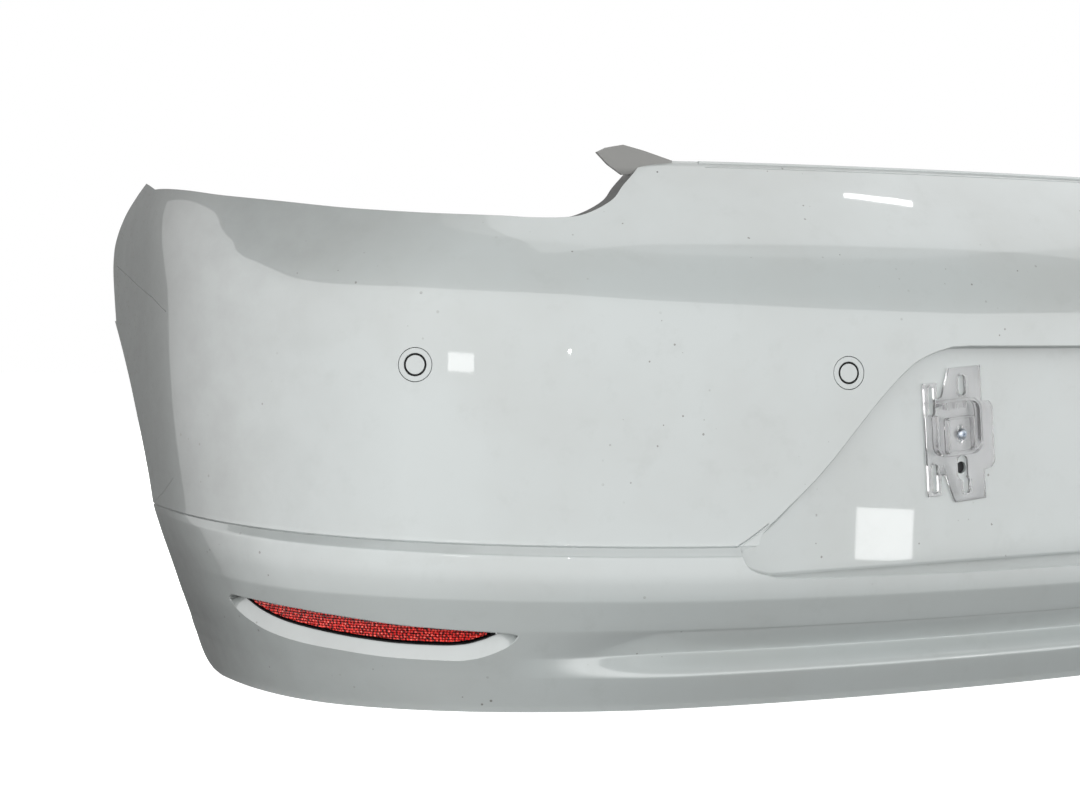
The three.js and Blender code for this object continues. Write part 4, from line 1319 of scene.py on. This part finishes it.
def pale_floor():
    floor = Finish("pale_floor", Specular_IOR_Level=0.2)
    floor.shader.inputs["Emission Color"].default_value = rgb(1, 1, 1)
    floor.shader.inputs["Emission Strength"].default_value = FLOOR_GLOW
    tone = floor.noise(1.5, 3)
    floor.link(floor.mix(tone, rgb(0.90, 0.90, 0.90), rgb(0.93, 0.93, 0.93)), "Base Color")
    floor.link(floor.ramp(tone, 0, 1, 0.6, 0.7), "Roughness")
    return floor.material


# ---------------------------------------------------------------- assembly


def build():
    """Makes every piece and gives it its materials; each one replaces a node of the frame."""
    paint, plastic, black = white_paint(), moulded_plastic(), even_finish("black_plastic")
    rubber, lens, clear = even_finish("silicone"), red_lens(), clear_plastic()
    plated, spring = even_finish("zinc"), even_finish("spring_steel")

    def piece(made, name, angle, materials, node, body="cover", exact=False):
        shade(made, angle, exact).name = name
        settle(made, materials, body, [node])

    piece(bumper_cover(), "cover_skin", 28, [paint, plastic], "bumper_cover", exact=True)
    for side, name in ((1, "left"), (-1, "right")):
        housing, face = reflector_housing(side), reflector_lens(side)
        piece(housing, f"lamp_housing_{name}", 32, [black], f"reflector_housing_{name}")
        piece(face, f"lamp_lens_{name}", 10, [lens], f"reflector_lens_{name}")
    sensor_parts = ((sensor_holder, paint, "paint"), (decoupling_ring, rubber, "silicone"),
                    (parking_sensor, paint, "paint"))
    for name, (run, z) in SENSORS.items():
        matrix = surface_frame(run, z)
        for maker, material, slot in sensor_parts:
            node = f"{maker.__name__}_{name}"
            made = plain_behind(maker(matrix), matrix, PAINT_DEPTH)
            piece(made, f"fine_{node}", 35, [material, black], node)
    for side, name in ((-1, "left"), (1, "right")):
        body, bracket = f"{name}_plate_bracket", f"plate_bracket_{name}"
        piece(plate_bracket(side), f"clear_bracket_{name}", 30, [clear], bracket, body)
        piece(plate_screw(side), f"fine_screw_{name}", 30, [plated], f"plate_screw_{name}")
        piece(plate_nut(side), f"fine_nut_{name}", 30, [black], f"plate_nut_{name}")
    piece(tow_cover(), "tow_lid", 30, [paint, paint], "tow_eye_cover", "tow_cover", exact=True)
    piece(tow_sleeve(), "tow_sleeve", 30, [plastic], "tow_eye_sleeve")
    for name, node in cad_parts.items():
        if name.startswith("arch_clip"):
            node.data.materials.clear()
            node.data.materials.append(spring)


# ---------------------------------------------------------------- studio


def add_floor():
    """A glowing floor that looks white but neither lights the part nor mirrors in it."""
    corners = [(x * FLOOR_SIZE, y * FLOOR_SIZE, 0) for x, y in ((-1, -1), (1, -1), (1, 1), (-1, 1))]
    floor = link_mesh("floor", corners, [(0, 1, 2, 3)], [pale_floor()])
    floor.visible_diffuse = False
    floor.visible_glossy = False


def bearing(azimuth, elevation, distance, height=PART_MIDDLE):
    """The point at this distance and in this direction from the part's middle."""
    az, el = math.radians(azimuth), math.radians(elevation)
    flat = distance * math.cos(el)
    return (flat * math.sin(az), -flat * math.cos(az), height + distance * math.sin(el))


def link_light(data, location, target, glossy=True):
    """A light that the camera does not see, facing its target."""
    lamp = bpy.data.objects.new(data.name, data)
    lamp.location = location
    lamp.rotation_euler = (Vector(target) - Vector(location)).to_track_quat("-Z", "Y").to_euler()
    lamp.visible_camera = False
    lamp.visible_glossy = glossy
    bpy.context.scene.collection.objects.link(lamp)


def add_panel():
    """A soft box curving round the front and left, taller at the left, that the camera does not see."""
    azimuths, tops = zip(*PANEL_TOP)
    steps = np.linspace(azimuths[0], azimuths[-1], 60)
    foot = [bearing(azimuth, 0, PANEL_RADIUS, PANEL_FOOT) for azimuth in steps]
    rise = np.tan(np.radians(np.interp(steps, azimuths, tops))) * PANEL_RADIUS + PART_MIDDLE
    head = [(x, y, float(z)) for (x, y, _), z in zip(foot, rise)]
    count = len(steps)
    faces = [(i, i + 1, count + i + 1, count + i) for i in range(count - 1)]
    glow = Finish("soft_box", Base_Color=rgb(0, 0, 0), Emission_Color=rgb(1, 1, 1))
    _, y, z = glow.axes()
    low = glow.ramp(z, PANEL_FOOT, PANEL_FOOT + PANEL_FADE)
    (rear, at_rear), (front, at_front) = PANEL_REAR
    share = glow.math("MULTIPLY", low, glow.ramp(y, rear, front, at_rear, at_front))
    glow.link(glow.math("MULTIPLY", share, PANEL_RADIANCE), "Emission Strength")
    panel = link_mesh("soft_box", foot + head, faces, [glow.material])
    panel.visible_camera = False
    panel.visible_shadow = False


def add_surround():
    """A pale backdrop for the camera, and a dim room for everything it lights."""
    world = bpy.data.worlds.new("studio")
    graph = Nodes(world)
    nodes = graph.tree.nodes
    direction = graph.node("ShaderNodeTexCoord").outputs["Generated"]
    slope = graph.node("ShaderNodeSeparateXYZ", {"Vector": direction}).outputs["Z"]
    room, backdrop = nodes["Background"], graph.node("ShaderNodeBackground")
    for shader in (room, backdrop):
        shader.inputs["Color"].default_value = rgb(1, 1, 1)
    graph.feed(graph.ramp(slope, *ROOM_SINE, ROOM_LOW, ROOM_HIGH), room.inputs["Strength"])
    graph.feed(BACKDROP_STRENGTH, backdrop.inputs["Strength"])
    seen = graph.node("ShaderNodeLightPath").outputs["Is Camera Ray"]
    mix = graph.node("ShaderNodeMixShader", {0: seen, 1: room.outputs[0], 2: backdrop.outputs[0]})
    graph.feed(mix.outputs[0], nodes["World Output"].inputs["Surface"])
    bpy.context.scene.world = world


def add_studio():
    """The room, a wide soft overhead light, the soft box and the area lamps."""
    add_surround()
    sky = bpy.data.lights.new("overhead", "SUN")
    sky.energy = OVERHEAD_STRENGTH
    sky.angle = math.radians(OVERHEAD_SPREAD)
    link_light(sky, (0.5, 0.3, 1.5), (0, 0, 0))
    add_panel()
    for name, azimuth, elevation, distance, size, radiance in LAMPS:
        data = bpy.data.lights.new(name, "AREA")
        data.shape = "RECTANGLE"
        data.size, data.size_y = size
        data.energy = math.pi * size[0] * size[1] * radiance
        location = bearing(azimuth, elevation, distance)
        link_light(data, location, LAMP_TARGET, glossy=name not in FILL_LAMPS)


def add_camera():
    """The viewpoint: left of the part's middle, low, turned towards the plate."""
    yaw, pitch, roll = (math.radians(CAMERA[key]) for key in ("yaw", "pitch", "roll"))
    data = bpy.data.cameras.new("camera")
    data.sensor_width = 36.0
    data.lens = CAMERA["lens"]
    camera = bpy.data.objects.new("camera", data)
    turn = (Matrix.Rotation(-yaw, 4, "Z") @ Matrix.Rotation(math.pi / 2 - pitch, 4, "X")
            @ Matrix.Rotation(-roll, 4, "Z"))
    camera.matrix_world = Matrix.Translation(CAMERA["place"]) @ turn
    bpy.context.scene.collection.objects.link(camera)
    bpy.context.scene.camera = camera


build()
add_floor()
add_studio()
add_camera()
bpy.context.scene.view_settings.view_transform = "Standard"
